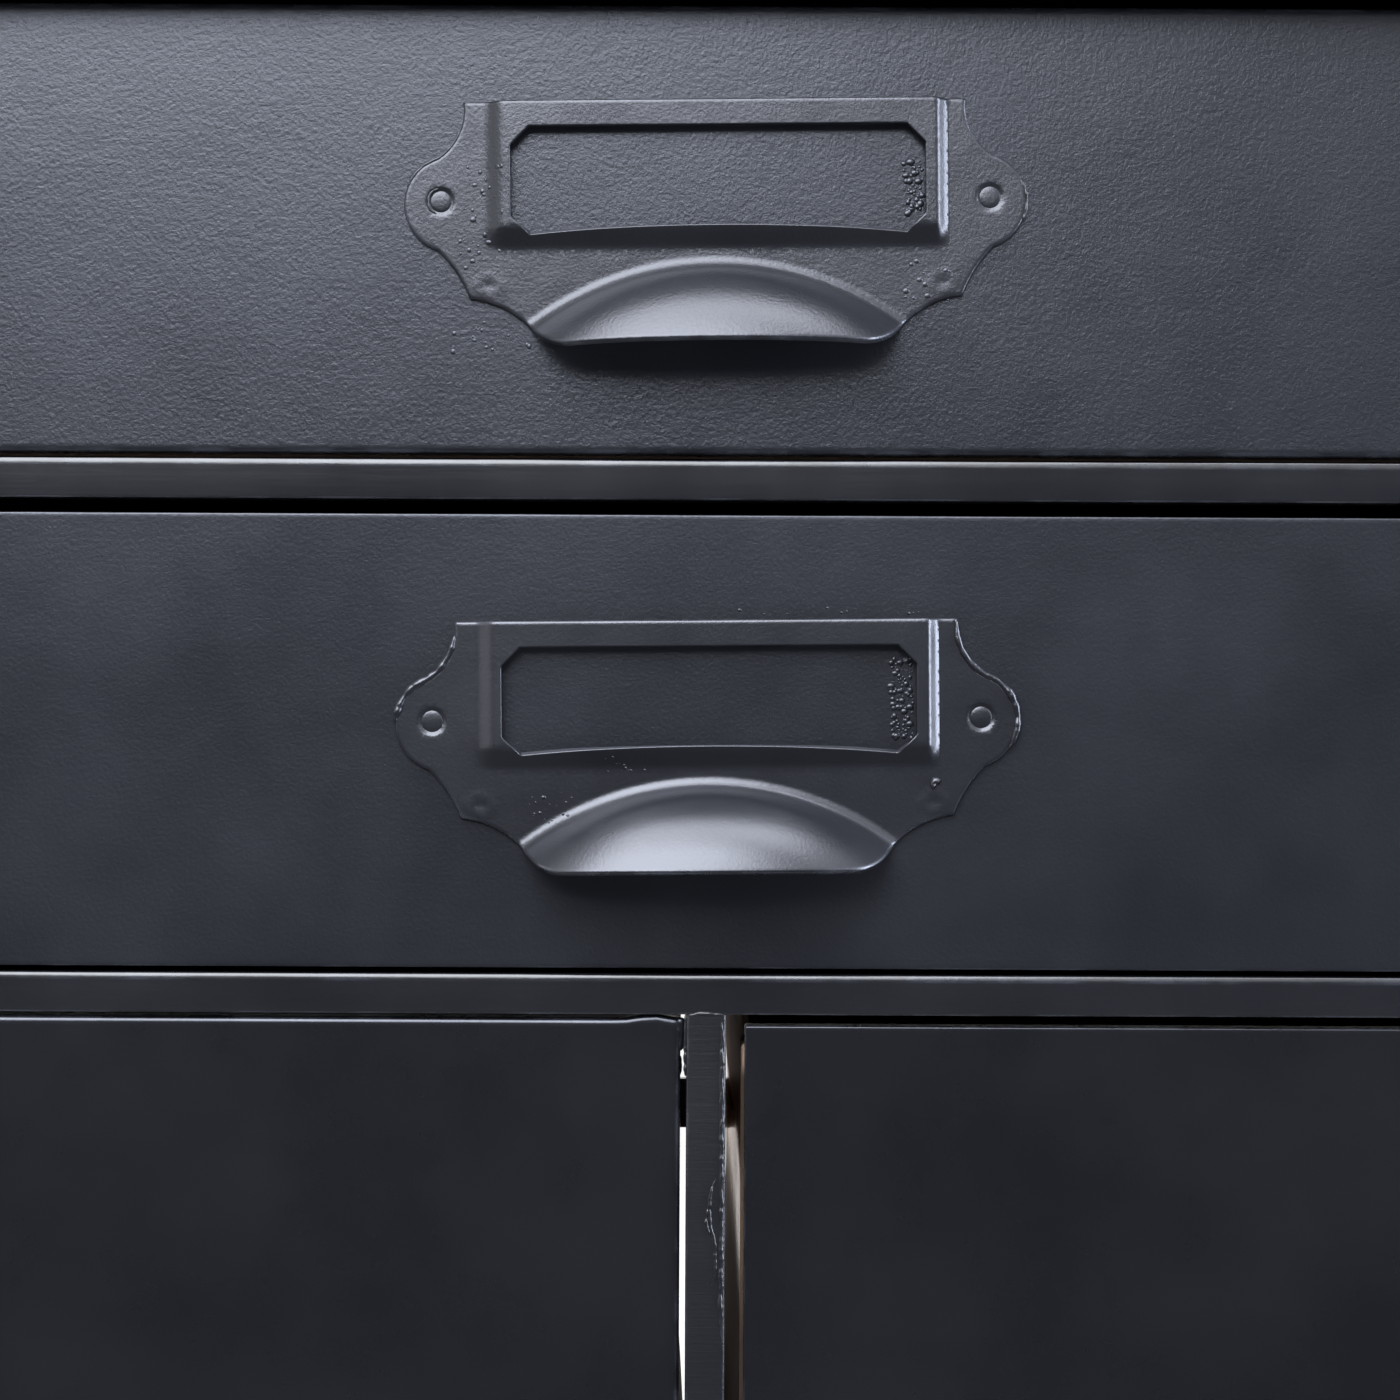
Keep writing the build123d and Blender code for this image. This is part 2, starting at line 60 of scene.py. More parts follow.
# camera and lamps
view = {
    "distance": 450,  # from the rails' faces, mm
    "x": -0.95,
    "z": 238.6,  # the camera's height
    "shiftY": 0.0143,  # the picture's middle lies a little above the camera's height
    "frameWidth": 224.4,  # what the picture takes in at the rails, mm
    "roll": -0.28,  # degrees
    "sensor": 36,
    "clipStart": 0.01,  # m
}
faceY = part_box("middle_front_rail")[0].y
cameraData = bpy.data.cameras.new("camera")
cameraData.sensor_width = view["sensor"]
cameraData.lens = view["sensor"] * view["distance"] / view["frameWidth"]
cameraData.shift_y = view["shiftY"]
cameraData.clip_start = view["clipStart"]
camera = linked("camera", cameraData)
camera.location = (view["x"] * mm, faceY - view["distance"] * mm, view["z"] * mm)
camera.rotation_euler = (pi / 2, radians(view["roll"]), 0)
bpy.context.scene.camera = camera

lamps = {
    # name: (distance m, azimuth, elevation, width m, height m, watts, colour)
    "key": (1.15, -19, 42, 0.95, 0.95, 24, (0.94, 0.96, 1.0)),
    "top": (0.95, -6, 82, 0.90, 0.50, 8, (0.94, 0.96, 1.0)),
    "right": (1.0, 76, 12, 0.24, 0.9, 12.5, (0.80, 0.87, 1.0)),
    "back": (1.6, 200, 38, 1.0, 0.8, 16, (1.0, 0.98, 0.95)),
    "left": (1.6, -105, 28, 0.9, 0.9, 9, (0.95, 0.97, 1.0)),
}
lampTarget = Vector((0, faceY, 0.24))  # what every lamp is turned to
for name, (distance, azimuth, elevation, width, height, watts, colour) in lamps.items():
    lampData = bpy.data.lights.new(name, "AREA")
    lampData.shape = "RECTANGLE"
    lampData.size = width
    lampData.size_y = height
    lampData.energy = watts
    lampData.color = colour
    lamp = linked(name, lampData)
    turn, rise = radians(azimuth), radians(elevation)
    away = Vector((sin(turn) * cos(rise), -cos(turn) * cos(rise), sin(rise)))
    lamp.location = lampTarget + away * distance
    lamp.rotation_euler = away.to_track_quat("Z", "Y").to_euler()
    lamp.visible_camera = False
bpy.context.scene.view_settings.view_transform = "Standard"


# node trees
class Wire:
    # a node's output that takes part in sums; each sum adds its Math node
    def __init__(self, tree, socket):
        self.tree = tree
        self.socket = socket

    def __add__(self, other):
        return self.tree.math("ADD", self, other)

    __radd__ = __add__

    def __sub__(self, other):
        return self.tree.math("SUBTRACT", self, other)

    def __rsub__(self, other):
        return self.tree.math("SUBTRACT", other, self)

    def __mul__(self, other):
        return self.tree.math("MULTIPLY", self, other)

    __rmul__ = __mul__

    def ramp(self, low, high):
        # 0 below low, 1 above high, smooth between
        values = {"interpolation_type": "SMOOTHSTEP", "Value": self, "From Min": low, "From Max": high}
        return self.tree.add("ShaderNodeMapRange", values)


class Tree:
    # a node tree, built node by node
    def __init__(self, tree):
        self.tree = tree
        self.tree.nodes.clear()

    def add(self, kind, values={}, out=0):
        # values are settings, in small letters, and inputs
        node = self.tree.nodes.new(kind)
        for key, value in values.items():
            if isinstance(key, str) and key.islower():
                setattr(node, key, value)
                continue
            for one in value if isinstance(value, list) else [value]:
                if isinstance(one, Wire):
                    self.tree.links.new(one.socket, node.inputs[key])
                else:
                    node.inputs[key].default_value = one
        return Wire(self, node.outputs[out]) if node.outputs else None

    def math(self, operation, *values):
        return self.add("ShaderNodeMath", {"operation": operation, **dict(enumerate(values))})


class Finish(Tree):
    # a material
    def __init__(self, name):
        self.material = bpy.data.materials.new(name)
        self.material.use_nodes = True
        super().__init__(self.material.node_tree)

    def mix(self, factor, first, second):
        return self.add("ShaderNodeMix", {"data_type": "RGBA", 0: factor, 6: first, 7: second}, 2)

    def noise(self, place, width, detail=2.0, rough=0.5):
        # width is the size of a lump in mm
        values = {"Vector": place, "Scale": 1000 / width, "Detail": detail, "Roughness": rough}
        return self.add("ShaderNodeTexNoise", values)

    def stretched(self, place, scale, offset=(0, 0, 0)):
        return self.add("ShaderNodeMapping", {"Vector": place, "Scale": scale, "Location": offset})

    def bump(self, height, depth):
        # depth in mm
        return self.add("ShaderNodeBump", {"Height": height, "Distance": depth * mm, "Strength": 1.0})

    def surface(self, sockets):
        shader = self.add("ShaderNodeBsdfPrincipled", sockets)
        self.add("ShaderNodeOutputMaterial", {"Surface": shader})
        return self.material


class Grower(Tree):
    # a Geometry Nodes tree with named inputs; kinds of input are told from their values
    def __init__(self, name, inputs):
        super().__init__(bpy.data.node_groups.new(name, "GeometryNodeTree"))
        sockets = self.tree.interface
        sockets.new_socket("Geometry", in_out="OUTPUT", socket_type="NodeSocketGeometry")
        sockets.new_socket("Geometry", in_out="INPUT", socket_type="NodeSocketGeometry")
        self.defaults = inputs
        self.identifiers = {}
        for key, value in inputs.items():
            kind = {int: "NodeSocketInt", float: "NodeSocketFloat"}.get(type(value), "NodeSocketMaterial")
            self.identifiers[key] = sockets.new_socket(key, in_out="INPUT", socket_type=kind).identifier
        self.start = self.tree.nodes.new("NodeGroupInput")

    def __getitem__(self, name):
        return Wire(self, self.start.outputs[name])

    def random(self, low, high, seed):
        values = {"data_type": "FLOAT", 2: low, 3: high, "Seed": seed}
        return self.add("FunctionNodeRandomValue", values, 1)

    def noise(self, seed, scale, detail, out=0):
        values = {"noise_dimensions": "4D", "W": seed, "Scale": scale, "Detail": detail}
        return self.add("ShaderNodeTexNoise", values, out)

    def moved(self, geometry, at, scale=(1, 1, 1)):
        return self.add("GeometryNodeTransform", {"Geometry": geometry, "Translation": at, "Scale": scale})

    def vector(self, x, y, z):
        return self.add("ShaderNodeCombineXYZ", {0: x, 1: y, 2: z})

    def finished(self, geometry):
        real = self.add("GeometryNodeRealizeInstances", {0: geometry})
        painted = self.add("GeometryNodeSetMaterial", {0: real, "Material": self["Finish"]})
        self.add("NodeGroupOutput", {0: painted})

    def grow(self, name, points, edges, faces, values):
        # what the tree makes of a small source mesh, as an object with a plain mesh
        mesh = bpy.data.meshes.new(f"{name}Source")
        mesh.from_pydata(points, edges, faces)
        source = linked(f"{name}Source", mesh)
        modifier = source.modifiers.new(name, "NODES")
        modifier.node_group = self.tree
        for key, value in {**self.defaults, **values}.items():
            modifier[self.identifiers[key]] = value
        evaluated = source.evaluated_get(bpy.context.evaluated_depsgraph_get())
        result = bpy.data.meshes.new_from_object(evaluated)
        result.name = name
        result.shade_smooth()
        result.set_sharp_from_angle(angle=radians(40))
        bpy.data.objects.remove(source)
        return linked(name, result)


# paint and metal
def srgb(*values):
    # screen values, 0 to 255, as linear light
    return tuple(((v / 255 + 0.055) / 1.055) ** 2.4 if v > 10 else v / 255 / 12.92 for v in values) + (1,)


paint = {
    "dark": srgb(20, 21, 26),
    "light": srgb(27, 28, 33),
    # lighter colour of rounded edges: partly wear, partly a painted highlight
    "worn": srgb(60, 62, 70),
    "patch": 38,  # mm, size of the broad changes of tone
    "cloud": 9,
    "stroke": 0.5,  # width of a brush stroke
    "grain": 0.36,  # the finest grain's size against the peel's
    "heights": (0.35, 0.9),  # of grain and cloud against the peel
    "bare": (0.42, 0.66),  # how much of the rounded edges takes the lighter colour: partly wear, partly painted highlight
    "wornShare": 0.5,
    "uneven": (0.07, 0.06, 0.05),  # what patches, clouds and the worn, highlighted edges do to the roughness
}
# colour that each paint gives its gloss: a painted tint of the reflected light, bluer on the fronts, and
# different on fronts, frame and pulls of one paint
tints = {"front": (0.82, 0.865, 1.0, 1), "plain": (0.95, 0.97, 1.0, 1), "pull": (0.86, 0.89, 1.0, 1)}
# peel and depth are the size and height of the paint's orange peel, in mm
paintUsual = {"fine": 1.0, "specular": 0.9, "tint": "front", "tone": 1.0}
paintKinds = {
    "coarsePaint": {"peel": 0.60, "depth": 0.062, "roughness": 0.29, "specular": 0.77},
    "evenPaint": {"peel": 0.52, "depth": 0.036, "roughness": 0.30, "specular": 0.82},
    # the deep drawers' fronts take the same paint darkened to 0.55: painted shade
    "smoothPaint": {"peel": 0.52, "depth": 0.012, "roughness": 0.28, "tone": 0.55},
    "framePaint": {"peel": 1.8, "depth": 0.016, "roughness": 0.25, "tint": "plain", "brush": 0.9},
    "mullionPaint": {"peel": 1.2, "depth": 0.030, "roughness": 0.29, "tint": "plain", "brush": 1.8},
    "pullCoarsePaint": {"peel": 0.60, "depth": 0.050, "roughness": 0.31, "tint": "pull", "specular": 0.88},
    "pullEvenPaint": {"peel": 0.52, "depth": 0.026, "roughness": 0.29, "tint": "pull", "specular": 1.0},
    "casePaint": {"peel": 0.90, "depth": 0.030, "roughness": 0.36, "tint": "plain", "fine": 0.5},
    "nibPaint": {"peel": 0.30, "depth": 0.020, "roughness": 0.30, "fine": 0.5},
}


def makePaint(name, kind):
    kind = {**paintUsual, **kind}
    f = Finish(name)
    place = f.add("ShaderNodeTexCoord", out="Object")
    broad = f.noise(place, paint["patch"], 3.0)
    cloud = f.noise(place, paint["cloud"], 3.0, 0.6)
    peel = f.noise(place, kind["peel"], 3.0, 0.55)
    grain = f.noise(place, kind["peel"] * paint["grain"], 2.0, 0.6)
    grainHeight, cloudHeight = paint["heights"]
    height = peel + grain * (grainHeight * kind["fine"]) + cloud * cloudHeight
    if "brush" in kind:
        strokes = f.noise(f.stretched(place, (0.05, 1, 1)), paint["stroke"], 3.0, 0.6)
        height = height + strokes * kind["brush"]
    edge = f.add("ShaderNodeAttribute", {"attribute_name": "edge"}, out="Fac")
    # rounded edges painted lighter: partly wear, partly a painted highlight along them
    wearAndHighlight = edge * cloud.ramp(*paint["bare"])
    # tone scales the paint's colour down; below 1 it is painted shade
    dark, light = (tuple(v * kind["tone"] for v in paint[key][:3]) + (1,) for key in ("dark", "light"))
    colour = f.mix(broad.ramp(0.3, 0.7), dark, light)
    colour = f.mix(wearAndHighlight * paint["wornShare"], colour, paint["worn"])
    byPatch, byCloud, byWearAndHighlight = paint["uneven"]
    return f.surface({
        "Base Color": colour,
        "Roughness": kind["roughness"] + (broad - 0.5) * byPatch + (cloud - 0.5) * byCloud - wearAndHighlight * byWearAndHighlight,
        "Specular IOR Level": kind["specular"],
        "Specular Tint": tints[kind["tint"]],
        "Normal": f.bump(height, kind["depth"]),
    })


finishes = {name: makePaint(name, kind) for name, kind in paintKinds.items()}

# sizes of the textures in mm, and the depths of their bumps
metalLooks = {
    "box": {
        "colour": srgb(122, 103, 90), "other": srgb(104, 90, 80), "primer": srgb(134, 109, 92),
        # glint is the colour of the painted glint band
        "edge": srgb(205, 175, 152), "bare": srgb(208, 177, 154),
        "rolled": 0.9, "cloud": 44, "thin": 90, "roughness": 0.43, "metallic": 0.85, "depth": 0.006,
        "burnished": (137, 153, 163, 170),  # mm above the floor: a band painted in a light colour and made smoother, a painted glint
        "inner": (10, 16),  # mm from the middle, which keeps the painted glint to the walls beside the upright
        "smoother": 0.27,
    },
    "runner": {"colour": srgb(150, 153, 156), "other": srgb(118, 121, 125), "spangle": 7, "cloud": 18,
               "roughness": 0.34, "depth": 0.008},
    "screw": {"colour": srgb(168, 168, 164), "other": srgb(128, 126, 120), "fine": 0.5, "rough": 0.6,
              "patches": (2.2, 3.0, 0.45, 0.7), "uneven": (0.22, 0.08), "roughness": 0.24, "metallic": 1.0,
              "depth": 0.006},
    "rubber": {"colour": srgb(24, 24, 25), "other": srgb(34, 34, 35), "fine": 0.35, "rough": 0.7,
               "patches": (5, 4.0, 0.4, 0.75), "uneven": (0.15, 0.0), "roughness": 0.72, "metallic": 0.0,
               "depth": 0.02},
}


def begin(name, kind):
    f = Finish(name)
    return f, metalLooks[kind], f.add("ShaderNodeTexCoord", out="Object")


def makeBoxSteel():
    # rolled sheet with a thin warm brown lacquer, redder where it lies thick, and a painted glint in a band
    # on the walls beside the upright
    f, look, place = begin("boxSteel", "box")
    rolled = f.noise(f.stretched(place, (1, 0.04, 1)), look["rolled"], 4.0, 0.6)
    cloud = f.noise(place, look["cloud"], 4.0, 0.6)
    thin = f.noise(place, look["thin"], 2.0).ramp(0.55, 0.8)
    across, height = (f.add("ShaderNodeSeparateXYZ", {"Vector": place}, axis) for axis in "XZ")
    foot, start, end, top = (z * mm for z in look["burnished"])
    near, far = (x * mm for x in look["inner"])
    # a band at fixed heights beside the upright, painted light: a painted glint
    glintBand = height.ramp(foot, start) * (1 - height.ramp(end, top))
    glintBand = glintBand * (1 - f.math("ABSOLUTE", across).ramp(near, far))
    colour = f.mix(cloud.ramp(0.3, 0.7), look["colour"], look["other"])
    colour = f.mix(thin * 0.7, colour, look["primer"])
    colour = f.mix(glintBand * 0.8, colour, look["bare"])
    roughness = look["roughness"] + (cloud - 0.5) * 0.2 + (rolled - 0.5) * 0.1
    return f.surface({
        "Base Color": colour,
        "Roughness": roughness - glintBand * look["smoother"],
        "Metallic": look["metallic"] - thin * 0.3,
        "Specular Tint": look["edge"],
        "Normal": f.bump(rolled + cloud * 0.8, look["depth"]),
    })


def makeRunnerSteel():
    # galvanised strip with spangle
    f, look, place = begin("runnerSteel", "runner")
    cells = f.add("ShaderNodeTexVoronoi", {"Vector": place, "Scale": 1000 / look["spangle"]}, "Color")
    tone = f.add("ShaderNodeSeparateColor", {"Color": cells})
    cloud = f.noise(place, look["cloud"], 4.0, 0.6)
    return f.surface({
        "Base Color": f.mix(tone * 0.6 + cloud * 0.4, look["colour"], look["other"]),
        "Roughness": look["roughness"] + tone * 0.16 + (cloud - 0.5) * 0.1,
        "Metallic": 1.0,
        "Normal": f.bump(cloud + tone * 0.3, look["depth"]),
    })


def makePatchy(name, kind):
    # a plain finish, other in patches: zinc plate gone dull, rubber under dust
    f, look, place = begin(name, kind)
    fine = f.noise(place, look["fine"], 3.0, look["rough"])
    size, detail, low, high = look["patches"]
    patches = f.noise(place, size, detail, 0.6).ramp(low, high)
    byPatch, byFine = look["uneven"]
    return f.surface({
        "Base Color": f.mix(patches, look["colour"], look["other"]),
        "Roughness": look["roughness"] + patches * byPatch + (fine - 0.5) * byFine,
        "Metallic": look["metallic"],
        "Normal": f.bump(fine, look["depth"]),
    })


finishes.update({
    "boxSteel": makeBoxSteel(), "runnerSteel": makeRunnerSteel(),
    "screwSteel": makePatchy("screwSteel", "screw"), "footRubber": makePatchy("footRubber", "rubber"),
})
print("materials:", len(finishes))


# floor and background
studio = {
    "floor": srgb(226, 226, 224),
    "floorSize": 1.3,
    "clear": (0.55, 1.25),  # m from the middle, where the floor fades into the white behind it
    "ambient": 0.20,
    "background": 1.0,
}
floorFinish = Finish("floor")
floorPlace = floorFinish.add("ShaderNodeTexCoord", out="Object")
floorMottle = floorFinish.noise(floorPlace, 3, 3.0)
floorAway = floorFinish.add("ShaderNodeVectorMath", {"operation": "LENGTH", 0: floorPlace}, 1)
floorFinish.surface({
    "Base Color": studio["floor"],
    "Roughness": 0.8 + floorMottle * 0.1,
    "Specular IOR Level": 0.2,
    "Alpha": 1.0 - floorAway.ramp(*studio["clear"]),
})


def stageSheet(name, points, faces, finish):
    mesh = bpy.data.meshes.new(name)
    mesh.from_pydata(points, [], faces)
    mesh.materials.append(finish.material)
    sheet = linked(name, mesh)
    return sheet


reach = studio["floorSize"]
stageSheet("floor", [(-reach, -reach, 0), (reach, -reach, 0), (reach, reach, 0), (-reach, reach, 0)],
           [(0, 1, 2, 3)], floorFinish)

world = bpy.data.worlds.new("studio")
world.use_nodes = True
bpy.context.scene.world = world
sky = Tree(world.node_tree)
path = sky.add("ShaderNodeLightPath", out="Is Camera Ray")
lightPath = path.socket.node
seen = path  # what camera, gloss and glass see
for ray in ("Is Glossy Ray", "Is Transmission Ray"):
    seen = sky.math("MAXIMUM", seen, Wire(sky, lightPath.outputs[ray]))
strength = studio["ambient"] + seen * (studio["background"] - studio["ambient"])
skyShader = sky.add("ShaderNodeBackground", {"Color": (1, 1, 1, 1), "Strength": strength})
sky.add("ShaderNodeOutputWorld", {"Surface": skyShader})

# black cards in front and on the floor there, which only the gloss of the fronts sees
cards = {"colour": (0.004, 0.004, 0.005, 1), "away": 1.5, "halfWidth": 1.7, "high": 0.62, "near": 0.035,
         "lift": 0.001}
cardFinish = Finish("blackCard")
cardPlace = cardFinish.add("ShaderNodeTexCoord", out="Object")
cardFinish.surface({"Base Color": cards["colour"], "Roughness": 0.9 + cardFinish.noise(cardPlace, 5) * 0.1})
farY, nearY = faceY - cards["away"], faceY - cards["near"]
wide, lift = cards["halfWidth"], cards["lift"]
blackCards = stageSheet(
    "blackCards",
    [(-wide, nearY, lift), (wide, nearY, lift), (wide, farY, lift), (-wide, farY, lift),
     (wide, farY, cards["high"]), (-wide, farY, cards["high"])],
    [(3, 2, 1, 0), (2, 3, 5, 4)], cardFinish)
for ray in ("camera", "diffuse", "transmission", "shadow"):
    setattr(blackCards, f"visible_{ray}", False)
print("stage ready")


# tools for meshes
mergeWithin = 2e-6  # m
# a rectangle's corners as a rim runs through them: their signs, and the angle where each turn starts
cornerTurns = ((1, -1, -90), (1, 1, 0), (-1, 1, 90), (-1, -1, 180))


def addPiece(name, points, faces, finish, body, replaced=(), edges=None):
    # points in metres; edges gives how near a point is to a rounded edge, 0 to 1, which the paint makes
    # lighter: partly wear, partly painted highlight
    mesh = bpy.data.meshes.new(name)
    mesh.from_pydata(points, [], faces)
    attribute = mesh.attributes.new("edge", "FLOAT", "POINT")
    attribute.data.foreach_set("value", edges if edges else [0.0] * len(points))
    work = bmesh.new()
    work.from_mesh(mesh)
    bmesh.ops.remove_doubles(work, verts=work.verts, dist=mergeWithin)
    bmesh.ops.recalc_face_normals(work, faces=work.faces)
    work.to_mesh(mesh)
    work.free()
    mesh.materials.append(finishes[finish])
    mesh.shade_smooth()
    mesh.set_sharp_from_angle(angle=radians(50))
    dress(linked(name, mesh), body, replaced)


def dress(piece, body, replaced=()):
    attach(piece, body)
    if replaced:
        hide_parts(*replaced)


def spaced(low, high, step, support):
    # evenly spaced values with a close neighbour at each end
    count = max(1, round((high - low - 2 * support) / step))
    inner = [low + support + (high - low - 2 * support) * i / count for i in range(count + 1)]
    return [low] + inner + [high]


def sheetPoints(width, height, profile, step, fan=4, support=0.5):
    # A sheet seen from its face, u across and v up, all in mm. profile lists, from the edge of the flat
    # on, how far out and how far back the surface goes; it ends level with the flat's edge, on the back.
    us = spaced(-width / 2, width / 2, step, support)
    vs = spaced(-height / 2, height / 2, step, support)
    points = [(u, v, 0.0) for v in vs for u in us]
    near = [0.0] * len(points)
    faces = []
    across, up = len(us), len(vs)

    def gridFaces(start, flip):
        for j in range(up - 1):
            for i in range(across - 1):
                a = start + j * across + i
                quad = (a, a + 1, a + across + 1, a + across)
                faces.append(quad[::-1] if flip else quad)

    gridFaces(0, False)
    rim = []  # (u, v, direction u, direction v)
    runs = (
        [(u, vs[0], 0, -1) for u in us[1:-1]],
        [(us[-1], v, 1, 0) for v in vs[1:-1]],
        [(u, vs[-1], 0, 1) for u in us[-2:0:-1]],
        [(us[0], v, -1, 0) for v in vs[-2:0:-1]],
    )
    for run, (sideU, sideV, start) in zip(runs, cornerTurns):
        rim += run
        for k in range(fan + 1):
            angle = radians(start + 90 * k / fan)
            rim.append((sideU * width / 2, sideV * height / 2, cos(angle), sin(angle)))
    count = len(rim)
    rings = [(0.0, 0.0)] + profile
    for out, back in rings:
        base = len(points)
        points += [(u + du * out, v + dv * out, -back) for u, v, du, dv in rim]
        near += [1.0 if 0 < out else 0.0] * count
        if base > across * up:
            for i in range(count):
                j = (i + 1) % count
                faces.append((base + i, base - count + i, base - count + j, base + j))
    start = len(points)
    back = rings[-1][1]
    points += [(u, v, -back) for v in vs for u in us]
    near += [0.0] * (across * up)
    gridFaces(start, True)
    return points, faces, near


def roundProfile(radius, steps=4):
    turns = [radians(90 * k / steps) for k in range(1, steps + 1)]
    return [(radius * sin(turn), radius * (1 - cos(turn))) for turn in turns]


def flatProfile(radius, thickness):
    return roundProfile(radius) + [(radius, thickness - 0.05), (radius - 0.05, thickness), (0, thickness)]


def trayProfile(radius, depth, sheet):
    return roundProfile(radius) + [
        (radius, radius + 0.5), (radius, depth - 0.1), (radius - 0.1, depth), (0.1, depth), (0, depth - 0.1),
        (0, sheet + 0.3), (0, sheet),
    ]


def smooth(value):
    value = min(1, max(0, value))
    return value * value * (3 - 2 * value)


def eased(value, ease=0.16):
    # a straight ramp from 0 to 1 with a short curve at each end
    if value <= -ease or value >= 1 + ease:
        return 0.0 if value < 0.5 else 1.0
    if value < ease:
        return (value + ease) ** 2 / (4 * ease)
    if value > 1 - ease:
        return 1 - (1 + ease - value) ** 2 / (4 * ease)
    return value


def wave(place, size, height, seed):
    # smooth swell over a surface, in mm
    return height * noise.noise(Vector(place) / size + Vector((seed * 7.3, seed * 3.1, seed * 5.7)))


def swelling(u, v, look, broad, fine, share, layer):
    # a broad swell with a finer one on it, which has a share of its height
    height = wave((u, v, 0), broad, look["swell"], look["seed"])
    return height + wave((u, v, layer), fine, look["swell"] * share, look["seed"])


def placed(points, origin, across, up, out):
    # from u, v, out in mm to metres in the frame
    return [origin + (across * u + up * v + out * w) * mm for u, v, w in points]


axes = {"x": Vector((1, 0, 0)), "y": Vector((0, 1, 0)), "z": Vector((0, 0, 1))}


# drawer fronts
fronts = {
    "sheet": 1.0,
    "step": 2.4,
    "swells": (46, 15, 0.2, 9),  # sizes of the broad and the fine swell, the fine one's share, its layer
    "highest": 0.12,
    "kinkPlace": (4.6, 2.6, 5),  # how far in from the corner, how wide and how deep the bent corner is
    "upper": {"finish": "coarsePaint", "edge": 0.9, "swell": 0.08, "seed": 1},
    "middle": {"finish": "evenPaint", "edge": 0.30, "swell": 0.06, "seed": 2},
    "lower_left": {"finish": "smoothPaint", "edge": 0.9, "swell": 0.07, "seed": 3,
                   "kink": 0.75, "wider": 0.26},
    "lower_right": {"finish": "smoothPaint", "edge": 0.22, "swell": 0.07, "seed": 4},
}


def makeFront(name):
    look = fronts[name]
    low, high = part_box(f"{name}_front")
    size = (high - low) / mm
    edge = look["edge"]
    points, faces, near = sheetPoints(
        size.x - 2 * edge, size.z - 2 * edge, trayProfile(edge, size.y, fronts["sheet"]), fronts["step"])
    halfU, halfV = size.x / 2, size.z / 2
    shaped = []
    for u, v, w in points:
        fade = 1 - max(0, -w - 1) / size.y
        lift = swelling(u, v, look, *fronts["swells"])
        if "kink" in look:
            # the top edge rises just before its right corner, and the right edge leans out
            inFrom, wide, deep = fronts["kinkPlace"]
            along = exp(-((u - halfU + inFrom) / wide) ** 2)
            v += look["kink"] * along * max(0, 1 - (halfV - v) / deep)
            u += look["wider"] * smooth(u / halfU)
        shaped.append((u, v, w + min(lift, fronts["highest"]) * fade))
    middle = (low + high) / 2
    origin = Vector((middle.x, low.y, middle.z))
    addPiece(
        f"{name}Front", placed(shaped, origin, axes["x"], axes["z"], -axes["y"]), faces, look["finish"],
        f"{name}_drawer", [f"{name}_front"], near)


for name in drawers:
    makeFront(name)
print("drawer fronts made")


# pulls: in mm from the middle of the two rivets, right and up
pull = {
    "rivetHalf": 44.0,
    "sheet": 1.0,
    "top": 15.9,
    "shoulder": 40.3,
    "highWaist": (41.3, 10.3),
    "earRoot": 44.6,
    "earHigh": 6.8,
    "earTip": (49.9, -0.5),
    "earLow": -7.8,
    "lowWaist": (41.9, -11.0),
    "point": (39.5, -15.6),
    "scallop": (34.75, -16.9),
    "cupCorner": (30.0, -20.2),
    "cupCornerMid": (27.4, -22.7),
    "lip": (22.6, -23.9),
    "cupTop": -10.5,
    "cupRadius": 49.3,
    "cupDepth": 13.5,
    "cupProfile": 22.4,
    "cupFillet": 2.3,
    "cardFeet": (-36.7, 37.3),  # feet of the slopes at the card frame's sides
    "cardFoot": -7.5,
    "leftSlope": (2.6, 0.45),  # the left slope is soft and the right one crisp at its foot
    "rightSlope": (0.5, 1.5),  # straight part, then the part that eases over
    "rightTilt": 35.4,  # degrees
    "lowSlope": 3.0,
    "cardRaise": 1.6,
    "window": (33.2, 11.7, -5.6),
    "windowShift": 0.45,
    "windowArch": 1.4,
    "windowCut": 3.0,
    "rim": 0.40,
    "windowRim": 0.16,
    "dimple": (2.05, 0.3),  # radius and depth of the hollow round a rivet
    "mark": (36.4, -13.6, 1.5),  # a faint press mark by each lower corner, and how much it is squashed
    "markRing": (0.10, 1.9, 0.5),  # height, radius and width of its ring
    "markMiddle": (0.08, 1.3),  # depth and radius of its hollow
    "swells": (13, 3.5, 0.25, 4),
    "clearance": 0.02,  # between the drawer and what lies on it
}
# where the points of the pulls' mesh lie
pullMesh = {
    "spacing": 0.45,  # along the edges
    "clear": 2.3,  # free points keep this many rims from an edge
    "leftRows": (0.3, -2, 11),  # distance between rows, first and end
    "rightRows": (0.27, -1, 13),
    "rowPoints": (0.6, 40),  # distance and number
    "dimpleRings": (1.2, 0.22, -1, 7, 26),  # radius, distance between rings, first, end and points in each
    "lowRows": 9,
    "cupRings": (0.3, 0.22, -6, 9),
    "cupPoints": (64, 0.68),  # in half a ring, and its angle in radians
    "grid": (0.85, -51, 51, -25, 17),  # distance, left, right, low and high
}
pullLooks = {
    "upper": {"finish": "pullCoarsePaint", "tilt": 0.75, "seed": 11, "swell": 0.10},
    "middle": {"finish": "pullEvenPaint", "tilt": 0.7, "seed": 12, "swell": 0.06},
    "lower_left": {"finish": "pullEvenPaint", "tilt": 0, "seed": 13, "swell": 0.06},
    "lower_right": {"finish": "pullEvenPaint", "tilt": 0, "seed": 14, "swell": 0.06},
}


